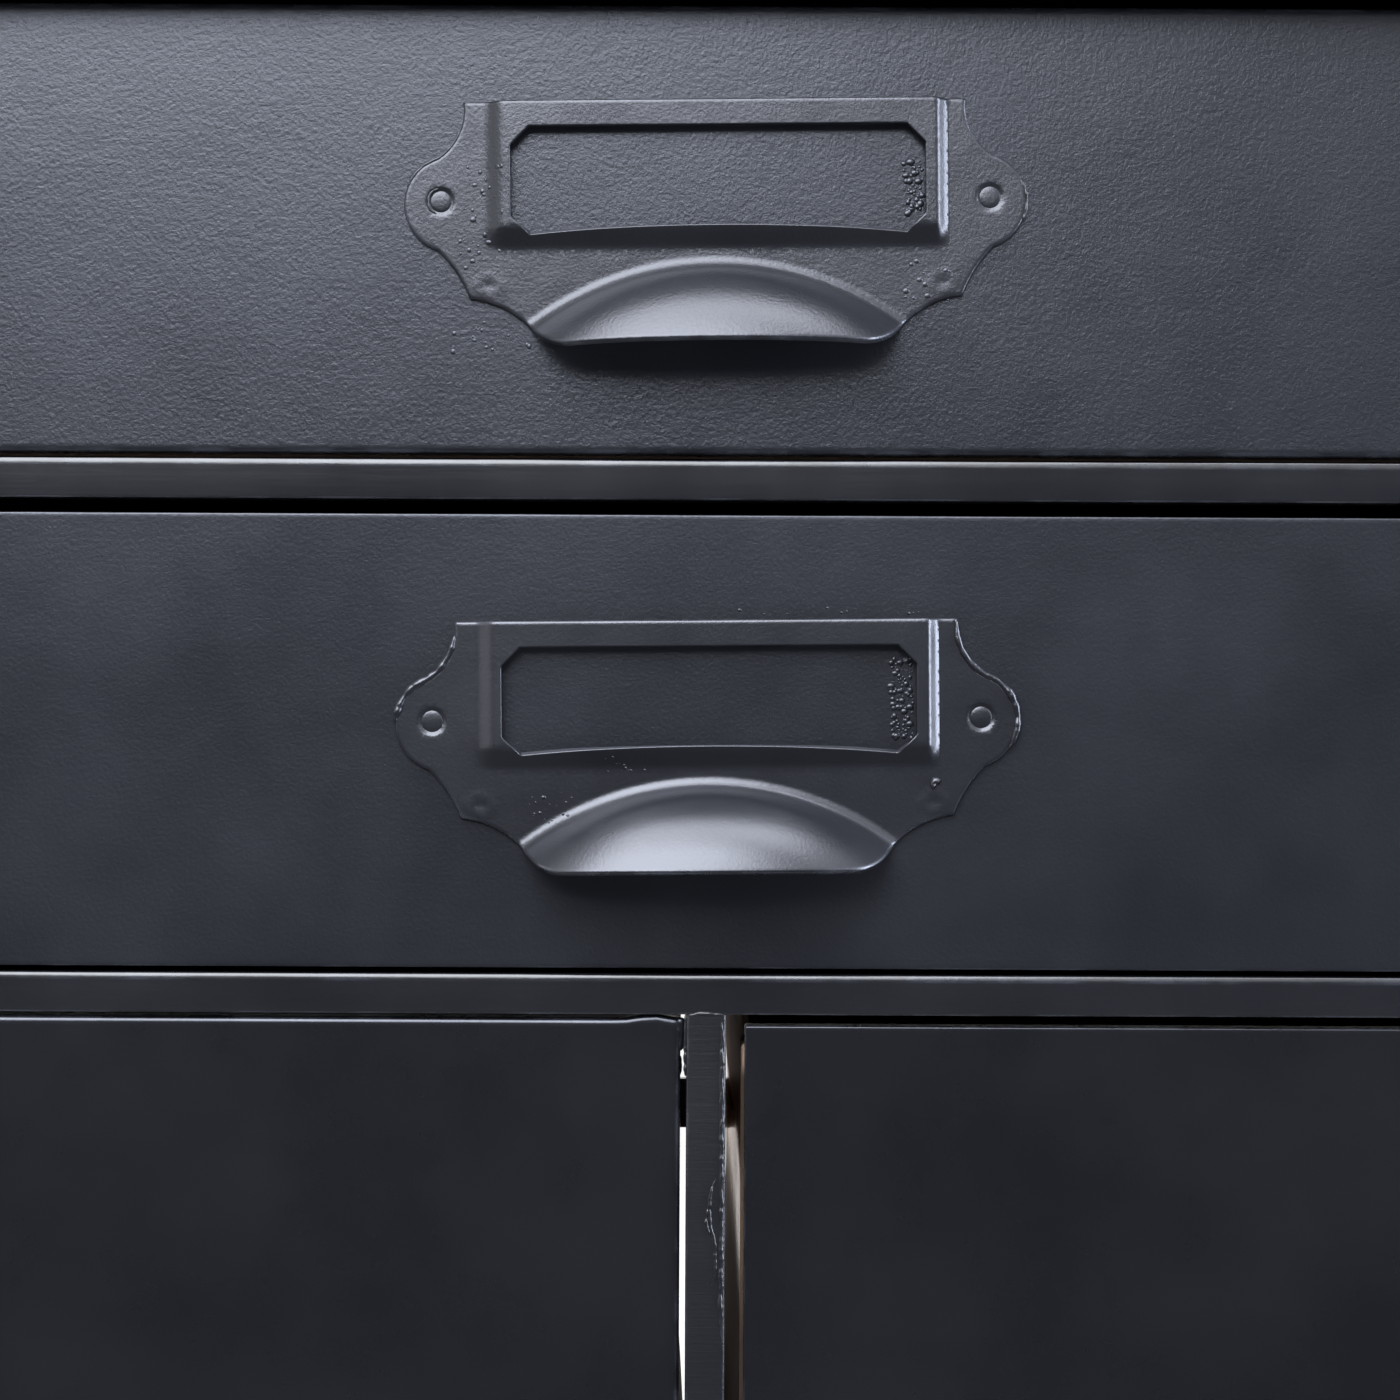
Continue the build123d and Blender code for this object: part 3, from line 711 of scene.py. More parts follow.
def arcThrough(a, b, c, spacing):
    # points along the circle from a through b to c, without c
    ax, ay, bx, by, cx, cy = *a, *b, *c
    d = 2 * (ax * (by - cy) + bx * (cy - ay) + cx * (ay - by))
    ox = ((ax**2 + ay**2) * (by - cy) + (bx**2 + by**2) * (cy - ay) + (cx**2 + cy**2) * (ay - by)) / d
    oy = ((ax**2 + ay**2) * (cx - bx) + (bx**2 + by**2) * (ax - cx) + (cx**2 + cy**2) * (bx - ax)) / d
    radius = hypot(ax - ox, ay - oy)
    start, mid, end = (atan2(y - oy, x - ox) for x, y in (a, b, c))
    turn = (end - start) % tau
    if (mid - start) % tau > turn:
        turn -= tau
    count = max(2, round(abs(turn) * radius / spacing))
    return [
        (ox + radius * cos(start + turn * i / count), oy + radius * sin(start + turn * i / count))
        for i in range(count)
    ]


def straight(a, b, spacing):
    count = max(1, round(dist(a, b) / spacing))
    return [(a[0] + (b[0] - a[0]) * i / count, a[1] + (b[1] - a[1]) * i / count) for i in range(count)]


def pullOutline():
    # right half from the middle of the top, clockwise, then its mirror image
    p, s = pull, pullMesh["spacing"]
    shoulder = (p["shoulder"], p["top"])
    half = straight((0, p["top"]), shoulder, s)
    half += arcThrough(shoulder, p["highWaist"], (p["earRoot"], p["earHigh"]), s)
    half += arcThrough((p["earRoot"], p["earHigh"]), p["earTip"], (p["earRoot"], p["earLow"]), s)
    half += arcThrough((p["earRoot"], p["earLow"]), p["lowWaist"], p["point"], s)
    half += arcThrough(p["point"], p["scallop"], p["cupCorner"], s)
    half += arcThrough(p["cupCorner"], p["cupCornerMid"], p["lip"], s)
    half += straight(p["lip"], (0, p["lip"][1]), s)
    half.append((0, p["lip"][1]))
    return half + [(-x, z) for x, z in half[-2:0:-1]]


def windowOutline():
    half, top, bottom = pull["window"]
    cut, s = pull["windowCut"], pullMesh["spacing"]
    corners = [(half - cut, top), (half, top - cut), (half, bottom + cut), (half - cut, bottom)]
    loop = straight((-half + cut, top), corners[0], s)
    for a, b in zip(corners, corners[1:]):
        loop += straight(a, b, s)
    loop += arcThrough(corners[-1], (0, bottom + pull["windowArch"]), (-half + cut, bottom), s)
    left = [(-half + cut, bottom), (-half, bottom + cut), (-half, top - cut), (-half + cut, top)]
    for a, b in zip(left, left[1:]):
        loop += straight(a, b, s)
    return [(x + pull["windowShift"], z) for x, z in loop]


def cupProfile():
    # the centre of the cup's curve: how far out of the plate and how far from the cup's axis
    lipReach = pull["lip"][1] - (pull["cupTop"] - pull["cupRadius"])
    lip = Vector((pull["sheet"] + pull["cupDepth"], lipReach))
    foot = Vector((pull["sheet"], pull["cupRadius"]))
    chord = foot - lip
    sag = sqrt(pull["cupProfile"] ** 2 - (chord.length / 2) ** 2)
    inward = Vector((-chord.y, chord.x)).normalized()
    return lip + chord / 2 + inward * sag


cupCentre = cupProfile()


def cupHeight(x, z, plate):
    # the cup's curve, with a fillet of its own radius where it meets the plate
    radius, fillet = pull["cupProfile"], pull["cupFillet"]
    reachOut = hypot(x, z - (pull["cupTop"] - pull["cupRadius"]))
    foot = cupCentre.y + sqrt((radius + fillet) ** 2 - (plate + fillet - cupCentre.x) ** 2)
    touch = cupCentre.y + (foot - cupCentre.y) * radius / (radius + fillet)
    if reachOut >= foot:
        return plate
    if reachOut > touch:
        return plate + fillet - sqrt(fillet**2 - (foot - reachOut) ** 2)
    return cupCentre.x + sqrt(radius**2 - (reachOut - cupCentre.y) ** 2)


def cardRise(x, z):
    # 0 on the plate, 1 on the card frame
    straightPart, easePart = pull["rightSlope"]
    steep = tan(radians(pull["rightTilt"])) / pull["cardRaise"]
    inward = pull["cardFeet"][1] - x
    if inward <= 0:
        right = 0.0
    elif inward < straightPart:
        right = steep * inward
    else:
        # a cubic that leaves with the straight part's slope and ends level
        climbed, rest = steep * straightPart, min(1, (inward - straightPart) / easePart)
        slope = steep * easePart
        right = climbed + slope * (rest - 2 * rest**2 + rest**3) + (1 - climbed) * (3 * rest**2 - 2 * rest**3)
    left = eased((x - pull["cardFeet"][0]) / pull["leftSlope"][0], pull["leftSlope"][1])
    low = eased((z - pull["cardFoot"]) / pull["lowSlope"])
    return min(right, left) * low if x > 0 else left * low


def pullHeight(x, z, look):
    # how far the front of the pull stands out from the drawer's face
    plate = pull["sheet"] + swelling(x, z, look, *pull["swells"])
    height = cupHeight(x, z, plate) + pull["cardRaise"] * cardRise(x, z)
    radius, depth = pull["dimple"]
    markX, markZ, squash = pull["mark"]
    ring, ringRadius, ringWidth = pull["markRing"]
    hollow, hollowRadius = pull["markMiddle"]
    for side in (-1, 1):
        away = hypot(x - side * pull["rivetHalf"], z)
        height -= depth * smooth((radius - away) / 0.5 + 0.5)
        away = hypot(x - side * markX, (z - markZ) * squash)
        height += ring * exp(-(((away - ringRadius) / ringWidth) ** 2))
        height -= hollow * exp(-((away / hollowRadius) ** 2))
    return height


def nearestOnLoop(point, loop):
    # distance from a point to a closed loop
    best = 1e9
    px, pz = point
    for (ax, az), (bx, bz) in zip(loop, loop[1:] + loop[:1]):
        dx, dz = bx - ax, bz - az
        t = ((px - ax) * dx + (pz - az) * dz) / (dx * dx + dz * dz)
        t = min(1, max(0, t))
        best = min(best, (px - ax - t * dx) ** 2 + (pz - az - t * dz) ** 2)
    return sqrt(best)


def insideLoop(point, loop):
    px, pz = point
    hit = False
    for (ax, az), (bx, bz) in zip(loop, loop[1:] + loop[:1]):
        if (az > pz) != (bz > pz) and px < (bx - ax) * (pz - az) / (bz - az) + ax:
            hit = not hit
    return hit


def insetLoop(loop, amount):
    # each point moved inwards, square to its neighbours; the loop runs clockwise
    moved = []
    for i, (x, z) in enumerate(loop):
        ax, az = loop[i - 1]
        bx, bz = loop[(i + 1) % len(loop)]
        dx, dz = bx - ax, bz - az
        size = hypot(dx, dz)
        moved.append((x + dz / size * amount, z - dx / size * amount))
    return moved


def pullPlan():
    # the flat triangles that every pull's mesh is lifted from
    outline, window = pullOutline(), windowOutline()
    points = outline + window
    count = len(outline)
    depths = [0.0] * len(points)  # distance from the nearest edge
    rims = [pull["rim"]] * count + [pull["windowRim"]] * len(window)
    for loop, sign, rim in ((outline, 1, pull["rim"]), (window, -1, pull["windowRim"])):
        # three rings over the rounded edge and one behind it
        for amount in [rim * (1 - cos(radians(30 * k))) for k in (1, 2, 3)] + [rim * 1.8]:
            for point in insetLoop(loop, sign * amount):
                good = min(nearestOnLoop(point, outline), nearestOnLoop(point, window)) > amount * 0.92
                if good and insideLoop(point, outline) and not insideLoop(point, window):
                    points.append(point)
                    depths.append(amount)
                    rims.append(rim)
    # rows closer together where the surface bends
    finer = []
    left, right = pull["cardFeet"]
    step, first, last = pullMesh["leftRows"]
    rows = [left + step * k for k in range(first, last)]
    step, first, last = pullMesh["rightRows"]
    rows += [right - step * k for k in range(first, last)] + [right - 0.02]
    apart, number = pullMesh["rowPoints"]
    for x in rows:
        finer += [(x, pull["cardFoot"] + 0.3 + apart * j) for j in range(number)]
    base, step, first, last, number = pullMesh["dimpleRings"]
    for side in (-1, 1):
        for k in range(first, last):
            for j in range(number):
                angle = tau * (j + 0.5 * (k % 2)) / number
                radius = base + step * k
                finer.append((side * pull["rivetHalf"] + radius * cos(angle), radius * sin(angle)))
    for k in range(pullMesh["lowRows"]):
        z = pull["cardFoot"] + pull["lowSlope"] * (k - 1) / (pullMesh["lowRows"] - 2)
        finer += [(left + apart * j, z) for j in range(int((right - left) / apart) + 1)]
    base, step, first, last = pullMesh["cupRings"]
    number, halfAngle = pullMesh["cupPoints"]
    for k in range(first, last):
        radius = pull["cupRadius"] + base + step * k
        for j in range(-number, number + 1):
            angle = halfAngle * j / number
            z = pull["cupTop"] - pull["cupRadius"] + radius * cos(angle)
            finer.append((radius * sin(angle), z))
    step, west, east, south, north = pullMesh["grid"]
    for j in range(int((north - south) / step)):
        for i in range(int((east - west) / step)):
            finer.append((west + step * (i + 0.5 * (j % 2)), south + step * j))
    for point in finer:
        if insideLoop(point, outline) and not insideLoop(point, window):
            gap = min(nearestOnLoop(point, outline), nearestOnLoop(point, window))
            if gap > pull["rim"] * pullMesh["clear"]:
                points.append(point)
                depths.append(gap)
                rims.append(pull["rim"])
    loops = [[i, (i + 1) % count] for i in range(count)]
    inner = len(window)
    loops += [[count + i, count + (i + 1) % inner] for i in range(inner)]
    flat, _, triangles, origins = delaunay_2d_cdt([Vector(p) for p in points], loops, [], 0, 1e-4, True)[:4]
    kept = []
    for triangle in triangles:
        cx = sum(flat[i].x for i in triangle) / 3
        cz = sum(flat[i].y for i in triangle) / 3
        if insideLoop((cx, cz), outline) and not insideLoop((cx, cz), window):
            kept.append(tuple(triangle))
    gaps = [(depths[source[0]], rims[source[0]]) if source else (1.0, 0.1) for source in origins]
    order = {source: i for i, sources in enumerate(origins) for source in sources if source < count + inner}
    walls = [(order[a], order[b]) for a, b in loops]
    return [tuple(p) for p in flat], kept, gaps, walls


pullFlat, pullTriangles, pullGaps, pullWalls = pullPlan()
print("pull plan:", len(pullFlat), "points")


def makePull(name):
    look = pullLooks[name]
    sheet = pull["sheet"]
    frontPoints, backPoints, near = [], [], []
    small = 0.05
    for (x, z), (gap, rim) in zip(pullFlat, pullGaps):
        height = pullHeight(x, z, look)
        slopeX = (pullHeight(x + small, z, look) - pullHeight(x - small, z, look)) / (2 * small)
        slopeZ = (pullHeight(x, z + small, look) - pullHeight(x, z - small, look)) / (2 * small)
        normal = Vector((-slopeX, -slopeZ, 1)).normalized()
        left = max(0, rim - gap)
        drop = rim - sqrt(max(0, rim * rim - left * left))
        frontPoints.append(Vector((x, z, height)) - normal * drop)
        back = Vector((x, z, height)) - normal * sheet
        back.z = max(back.z, pull["clearance"])
        backPoints.append(back)
        near.append(1.0 if gap < rim and rim > 0.3 else 0.0)
    count = len(frontPoints)
    faces = list(pullTriangles) + [tuple(count + i for i in reversed(t)) for t in pullTriangles]
    faces += [(a, b, count + b, count + a) for a, b in pullWalls]
    origin, across, up = pullPlace(name)
    points = placed([tuple(p) for p in frontPoints + backPoints], origin, across, up, -axes["y"])
    addPiece(f"{name}Pull", points, faces, look["finish"], f"{name}_drawer", [f"{name}_pull"],
             near * 2)


def pullPlace(name):
    low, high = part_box(f"{name}_pull_rivets")
    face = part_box(f"{name}_front")[0]
    tilt = radians(pullLooks[name]["tilt"])
    across = Vector((cos(tilt), 0, sin(tilt)))
    up = Vector((-sin(tilt), 0, cos(tilt)))
    return Vector(((low.x + high.x) / 2, face.y, (low.z + high.z) / 2)), across, up


for name in drawers:
    makePull(name)
print("pulls made")


# the frame's bars
bars = {
    "soft": (0.9, 0.9),  # how far an edge's round reaches along its two sides, mm
    "hard": (0.3, 0.3),
    # the round of the front rails' top edge, which takes the worn colour with its painted highlight
    "worn": (0.4, 1.2),
    "fan": 8,  # faces in a round
    "crown": 0.04,  # swell across a side
    "crownAt": (0.25, 0.5, 0.75, 0.92),
    "step": 5.0,
    "waver": 0.07,
    "waverSizes": (34, 7),
    "lean": {"upper_front_rail": 0.24, "middle_front_rail": 0.10},  # the foot of a leaning rail lies back
    "middle": (0, 0.005, 0.18),  # of the chest, m: the outer edges point away from it
}
frontRails, rearRails = ([f"{level}_{end}_rail" for level in ("bottom", "middle", "upper", "top")]
                         for end in ("front", "rear"))
sideRails = [f"{level}_side_rail_{side}" for level in ("bottom", "top") for side in ("left", "right")]
posts = ["stile_left", "stile_right", "rear_post_left", "rear_post_right"]


def barSection(halfA, halfB, radii):
    # corners in the order of cornerTurns, each with its own reach along the two sides
    section = []
    fan = bars["fan"]
    for (signA, signB, start), (reachA, reachB) in zip(cornerTurns, radii):
        a, b = signA * (halfA - reachA), signB * (halfB - reachB)
        for k in range(fan + 1):
            angle = radians(start + 90 * k / fan)
            # points on a round take the paint's lighter edge colour: wear and painted highlight
            worn = 1.0 if 0 < k < fan else 0.5
            section.append((a + reachA * cos(angle), b + reachB * sin(angle), worn))
        nextA, nextB = -sin(radians(start + 90)), cos(radians(start + 90))
        end = section[-1]
        section.append((end[0] + nextA * 0.5, end[1] + nextB * 0.5, 0.0))
    # between two corners the side swells a little
    support = []
    for i, point in enumerate(section):
        if point[2] == 0.5 and section[i - 1][2] == 0.0:
            before = section[i - 1]
            wide = dist(before[:2], point[:2])
            for t in bars["crownAt"]:
                swell = bars["crown"] * sin(pi * t) * min(1, wide / 3)
                a = before[0] + (point[0] - before[0]) * t
                b = before[1] + (point[1] - before[1]) * t
                across = (point[1] - before[1]) / wide, (before[0] - point[0]) / wide
                support.append((a + across[0] * swell, b + across[1] * swell, 0.0))
        support.append(point)
    return support


def makeBar(node, seed, soft=None, finish="framePaint"):
    low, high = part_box(node)
    size = (high - low) / mm
    along = max(range(3), key=lambda i: size[i])
    a, b = [(1, 2), (2, 0), (0, 1)][along]
    middle = (low + high) / 2
    outA, outB = (1 if middle[k] > bars["middle"][k] else -1 for k in (a, b))
    if node in frontRails + rearRails:
        outB = 1  # the top edge of every cross rail is the rounder one
    outer = bars["worn"] if node in frontRails else bars["soft"]
    radii = [outer if turn[:2] == (outA, outB) else bars["hard"] for turn in cornerTurns]
    if soft:
        radii = [(soft, soft)] * 4
    section = barSection(size[a] / 2, size[b] / 2, radii)
    stations = spaced(-size[along] / 2, size[along] / 2, bars["step"], 0.3)
    units = (axes["x"], axes["y"], axes["z"])
    broad, fine = bars["waverSizes"]
    points, near = [], []
    for s in stations:
        for pa, pb, worn in section:
            shift = wave((s, seed, 0), broad, bars["waver"], seed)
            rough = wave((s, pa * 2, pb * 2), fine, bars["waver"] * 0.5, seed)
            lean = bars["lean"].get(node, 0) * (0.5 - pb / size[b]) * (0.5 - pa / size[a])
            offset = units[along] * s + units[a] * (pa + rough * 0.5 + lean)
            points.append(middle + (offset + units[b] * (pb + shift * 0.5 + rough * 0.5)) * mm)
            near.append(1.0 if worn == 1.0 else 0.0)
    count = len(section)
    faces = []
    for i in range(len(stations) - 1):
        for j in range(count):
            k = (j + 1) % count
            faces.append((i * count + j, i * count + k, (i + 1) * count + k, (i + 1) * count + j))
    last = (len(stations) - 1) * count
    faces.append(tuple(range(count))[::-1])
    faces.append(tuple(last + j for j in range(count)))
    addPiece(f"{node}_bar", points, faces, finish, "case", [node], near)


for seed, node in enumerate(frontRails + rearRails + sideRails + posts):
    makeBar(node, seed)
makeBar("mullion", 31, 0.5, "mullionPaint")
makeBar("back_tie", 32, 0.4)
print("bars made")


# sheets of the case, which swell by a little that fades out towards their edges
sheets = {
    "lid": {"edge": 1.4, "sheet": 1.2, "swell": 0.22, "size": 90, "fade": 22, "step": 6, "seed": 41},
    "panel": {"edge": 0.25, "swell": 0.5, "size": 80, "fade": 30, "step": 6},
}


def makeLid():
    look = sheets["lid"]
    low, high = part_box("lid")
    size = (high - low) / mm
    edge = look["edge"]
    points, faces, near = sheetPoints(
        size.x - 2 * edge, size.y - 2 * edge, trayProfile(edge, size.z, look["sheet"]), look["step"])
    shaped = []
    for u, v, w in points:
        fade = smooth(min(size.x / 2 - abs(u), size.y / 2 - abs(v)) / look["fade"])
        shaped.append((u, v, w - abs(wave((u, v, 0), look["size"], look["swell"], look["seed"])) * fade))
    middle = (low + high) / 2
    points = placed(shaped, Vector((middle.x, middle.y, high.z)), axes["x"], axes["y"], axes["z"])
    addPiece("lidSheet", points, faces, "casePaint", "case", ["lid"], near)


def makePanel(node, across, up, out, seed):
    look = sheets["panel"]
    low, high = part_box(node)
    size = (high - low) / mm
    width, height, thick = (abs(size.dot(axis)) for axis in (across, up, out))
    edge = look["edge"]
    profile = flatProfile(edge, thick)
    points, faces, near = sheetPoints(width - 2 * edge, height - 2 * edge, profile, look["step"])
    shaped = []
    for u, v, w in points:
        fade = smooth(min(width / 2 - abs(u), height / 2 - abs(v)) / look["fade"])
        shaped.append((u, v, w + wave((u, v, 0), look["size"], look["swell"], seed) * fade))
    points = placed(shaped, (low + high) / 2 + out * thick / 2 * mm, across, up, out)
    addPiece(f"{node}_sheet", points, faces, "casePaint", "case", [node], near)


makeLid()
makePanel("side_panel_left", -axes["y"], axes["z"], -axes["x"], 43)
makePanel("side_panel_right", axes["y"], axes["z"], axes["x"], 44)
makePanel("back_panel", -axes["x"], axes["z"], axes["y"], 45)
print("sheets made")


# the deep drawers' boxes, whose inner walls have been pushed out of true
boxes = {
    "cuts": 14,  # mm between the cuts across a wall
    "reach": (2.2, 4),  # mm from the wall: what lies nearer moves with it, and how soon that fades
    # foot, top and end of each hump, in mm above the floor, and how far it pushes the wall
    "lower_left": {"wall": -6.42, "toward": 1, "seed": 51,
                   "humps": [(25, 66, 120, 3.25), (144, 174, 215, 1.75)]},
    "lower_right": {"wall": 5.93, "toward": -1, "seed": 52,
                    "humps": [(20, 84, 150, 2.3), (152, 180, 215, 1.0)]},
    "middleY": 30,
    "halfY": 84,
    "ends": 1.15,  # above 1 the middle of the hump is flat
    "waver": 0.12,
    "waverSize": 60,
}


def hump(value, start, top, end):
    # 0 at the start, 1 at the top and 0 again at the end
    half = top - start if value < top else end - top
    return cos(min(1, abs(value - top) / half) * pi / 2)


def makeBox(name):
    look = boxes[name]
    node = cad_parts[f"{name}_box"]
    work = bmesh.new()
    work.from_mesh(node.data)
    work.transform(node.matrix_world)
    bmesh.ops.remove_doubles(work, verts=work.verts, dist=1e-5)
    low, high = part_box(f"{name}_box")
    still, fading = boxes["reach"]
    for axis in (1, 2):
        count = int((high - low)[axis] / mm / boxes["cuts"])
        for i in range(1, count):
            spot = low + (high - low) * i / count
            parts = work.verts[:] + work.edges[:] + work.faces[:]
            bmesh.ops.bisect_plane(work, geom=parts, plane_co=spot, plane_no=axes["xyz"[axis]], dist=1e-6)
    for vertex in work.verts:
        x, y, z = vertex.co / mm
        near = smooth(1 - (abs(x - look["wall"]) - still) / fading)
        along = smooth(boxes["ends"] - abs(y - boxes["middleY"]) / boxes["halfY"])
        push = sum(size * hump(z, start, top, end) for start, top, end, size in look["humps"]) * along * near
        sway = wave((y, z, 0), boxes["waverSize"], boxes["waver"], look["seed"]) * near * along
        vertex.co.x += look["toward"] * (push + sway) * mm
    bmesh.ops.recalc_face_normals(work, faces=work.faces)
    mesh = bpy.data.meshes.new(f"{name}BentBox")
    work.to_mesh(mesh)
    work.free()
    mesh.materials.append(finishes["boxSteel"])
    mesh.shade_smooth()
    mesh.set_sharp_from_angle(angle=radians(30))
    dress(linked(f"{name}BentBox", mesh), f"{name}_drawer", [f"{name}_box"])


makeBox("lower_left")
makeBox("lower_right")
print("boxes bent")


# rivets and screws
rivetLevel = 0.74  # of the heads, mm in front of the drawer's face
# a head's radius, its foot's level in mm and the axis along which the screw lies
screwPlaces = {"front": (3.9, -107.4, 1), "foot": (3.6, 2.2, 2)}


def rivetTree():
    g = Grower("rivet", {
        "Head Radius": 1.72 * mm, "Head Rise": 0.20 * mm, "Shank Radius": 1.2 * mm,
        "Tail Radius": 2.0 * mm, "Tail Rise": 0.8 * mm, "Grip": 2.0 * mm, "Finish": None,
    })
    parts = []
    for radius, rise, back in (("Head Radius", "Head Rise", 0), ("Tail Radius", "Tail Rise", 1)):
        ball = g.add("GeometryNodeMeshUVSphere", {"Segments": 32, "Rings": 16, "Radius": 1.0})
        down = g["Grip"] * (-1 * back)
        scale = g.vector(g[radius], g[radius], g[rise])
        parts.append(g.moved(ball, g.vector(0, 0, down), scale))
    shank = g.add("GeometryNodeMeshCylinder", {
        "Vertices": 24, "Radius": g["Shank Radius"], "Depth": g["Grip"]})
    parts.append(g.moved(shank, g.vector(0, 0, g["Grip"] * -0.5)))
    rivet = g.add("GeometryNodeJoinGeometry", {"Geometry": parts})
    g.finished(g.add("GeometryNodeInstanceOnPoints", {
        "Points": g["Geometry"], "Instance": rivet, "Rotation": (pi / 2, 0, 0)}))
    return g


def screwTree():
    # a round head with a cross recess; each one has stopped at its own turn
    g = Grower("screw", {
        "Head Radius": 3.85 * mm, "Head Height": 1.95 * mm,
        "Shank Radius": 1.95 * mm, "Shank Length": 3.5 * mm,
        "Recess Width": 1.0 * mm, "Recess Length": 4.2 * mm, "Tilt": 0.0, "Seed": 1, "Finish": None,
    })
    headRadius, headHeight = g["Head Radius"], g["Head Height"]
    ball = g.add("GeometryNodeMeshUVSphere", {"Segments": 40, "Rings": 24, "Radius": 1.0})
    dome = g.moved(ball, (0, 0, 0), g.vector(headRadius, headRadius, headHeight))
    tools = []
    length, width = g["Recess Length"], g["Recess Width"]
    for sides in ((length, width), (width, length)):
        block = g.add("GeometryNodeMeshCube", {"Size": g.vector(*sides, headHeight)})
        tools.append(g.moved(block, g.vector(0, 0, headHeight * 0.95)))
    under = g.add("GeometryNodeMeshCube", {"Size": (0.02, 0.02, 0.02)})
    tools.append(g.moved(under, (0, 0, -0.01)))
    head = g.add("GeometryNodeMeshBoolean", {"operation": "DIFFERENCE", "Mesh 1": dome, "Mesh 2": tools})
    shank = g.add("GeometryNodeMeshCylinder", {
        "Vertices": 24, "Radius": g["Shank Radius"], "Depth": g["Shank Length"]})
    lowered = g.moved(shank, g.vector(0, 0, g["Shank Length"] * -0.5))
    screw = g.add("GeometryNodeJoinGeometry", {"Geometry": [head, lowered]})
    spots = g.add("GeometryNodeInstanceOnPoints", {
        "Points": g["Geometry"], "Instance": screw, "Rotation": g.vector(g["Tilt"], 0, 0)})
    spin = g.vector(0, 0, g.random(0.0, tau, g["Seed"]))
    g.finished(g.add("GeometryNodeRotateInstances", {"Instances": spots, "Rotation": spin}))
    return g


def growPiece(tree, name, points, edges, faces, finish, values, body, replaced=()):
    values = {**values, "Finish": finishes[finish]}
    piece = tree.grow(name, [tuple(point) for point in points], edges, faces, values)
    dress(piece, body, replaced)


rivets = rivetTree()
for name in drawers:
    heads = [(side * pull["rivetHalf"], 0, rivetLevel) for side in (-1, 1)]
    spots = placed(heads, *pullPlace(name), -axes["y"])
    growPiece(rivets, f"{name}Rivets", spots, [], [], pullLooks[name]["finish"], {}, f"{name}_drawer",
              [f"{name}_pull_rivets"])


def screwSpots(node, radius, level, axis):
    # one point in each corner of the node's box, at the foot of the heads
    low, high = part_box(node)
    spots = []
    for first in (0, 1):
        for second in (0, 1):
            spot = [0.0, 0.0, 0.0]
            a, b = [k for k in range(3) if k != axis]
            spot[a] = (low, high)[first][a] + (1 - 2 * first) * radius * mm
            spot[b] = (low, high)[second][b] + (1 - 2 * second) * radius * mm
            spot[axis] = level * mm
            spots.append(spot)
    return spots


screws = screwTree()
for seed, name in enumerate(drawers):
    node = f"{name}_front_screws"
    growPiece(screws, f"{name}Screws", screwSpots(node, *screwPlaces["front"]), [], [], "screwSteel",
              {"Tilt": -pi / 2, "Seed": seed + 3}, f"{name}_drawer", [node])
growPiece(screws, "footScrews", screwSpots("foot_screws", *screwPlaces["foot"]), [], [], "screwSteel",
          {"Tilt": pi, "Seed": 9, "Head Radius": 3.55 * mm, "Head Height": 1.55 * mm,
           "Shank Radius": 1.7 * mm, "Shank Length": 5.9 * mm}, "case", ["foot_screws"])
print("rivets and screws grown")


# beads of paint and weld, and specks under the paint
def beadTree():
    # a lumpy bead along a path, thinner towards its ends
    g = Grower("bead", {
        "Radius": 0.4 * mm, "Step": 0.3 * mm, "Wander": 0.3 * mm, "Lump": 1.3 * mm, "Ripple": 0.5,
        "Seed": 1.0, "Finish": None,
    })
    path = g.add("GeometryNodeMeshToCurve", {"Mesh": g["Geometry"]})
    path = g.add("GeometryNodeResampleCurve", {"mode": "LENGTH", "Curve": path, "Length": g["Step"]})
    fine = g.math("DIVIDE", 1.0, g["Lump"])
    lean = g.noise(g["Seed"], fine, 2.0, 1)
    lean = g.add("ShaderNodeVectorMath", {"operation": "SUBTRACT", 0: lean, 1: (0.5, 0.5, 0.5)})
    lean = g.add("ShaderNodeVectorMath", {"operation": "SCALE", 0: lean, "Scale": g["Wander"]})
    path = g.add("GeometryNodeSetPosition", {"Geometry": path, "Offset": lean})
    lumps = g.noise(g["Seed"] + 7.0, fine * 1.4, 3.0)
    part = g.add("GeometryNodeSplineParameter")
    ends = g.math("MINIMUM", part, 1.0 - part) * 9.0
    ends = g.math("POWER", g.math("MINIMUM", ends + 0.02, 1.0), 0.5)
    thick = ends * ((lumps - 0.5) * (g["Ripple"] * 4.0) + 1.0)
    thick = g.math("MAXIMUM", thick, 0.06)
    ring = g.add("GeometryNodeCurvePrimitiveCircle", {"Resolution": 10, "Radius": g["Radius"]})
    g.finished(g.add("GeometryNodeCurveToMesh", {
        "Curve": path, "Profile Curve": ring, "Scale": thick, "Fill Caps": True}))
    return g


def speckTree():
    # small flattened lumps scattered over patches of a surface
    g = Grower("speck", {
        "Density": 1.0e6, "Smallest": 0.1 * mm, "Largest": 0.3 * mm, "Flat": 0.6, "Seed": 1, "Finish": None,
    })
    spots = g.add("GeometryNodeDistributePointsOnFaces", {
        "Mesh": g["Geometry"], "Density": g["Density"], "Seed": g["Seed"]})
    square = Wire(g, spots.socket.node.outputs["Rotation"])
    size = g.random(0.0, 1.0, g["Seed"] + 5)
    size = g["Smallest"] + size * size * (g["Largest"] - g["Smallest"])
    lump = g.add("GeometryNodeMeshIcoSphere", {"Radius": 1.0, "Subdivisions": 2})
    stretch = g.random(0.7, 1.4, g["Seed"] + 9)
    g.finished(g.add("GeometryNodeInstanceOnPoints", {
        "Points": spots, "Instance": lump, "Rotation": square,
        "Scale": g.vector(size * stretch, size, size * g["Flat"])}))
    return g


beads = beadTree()
specks = speckTree()


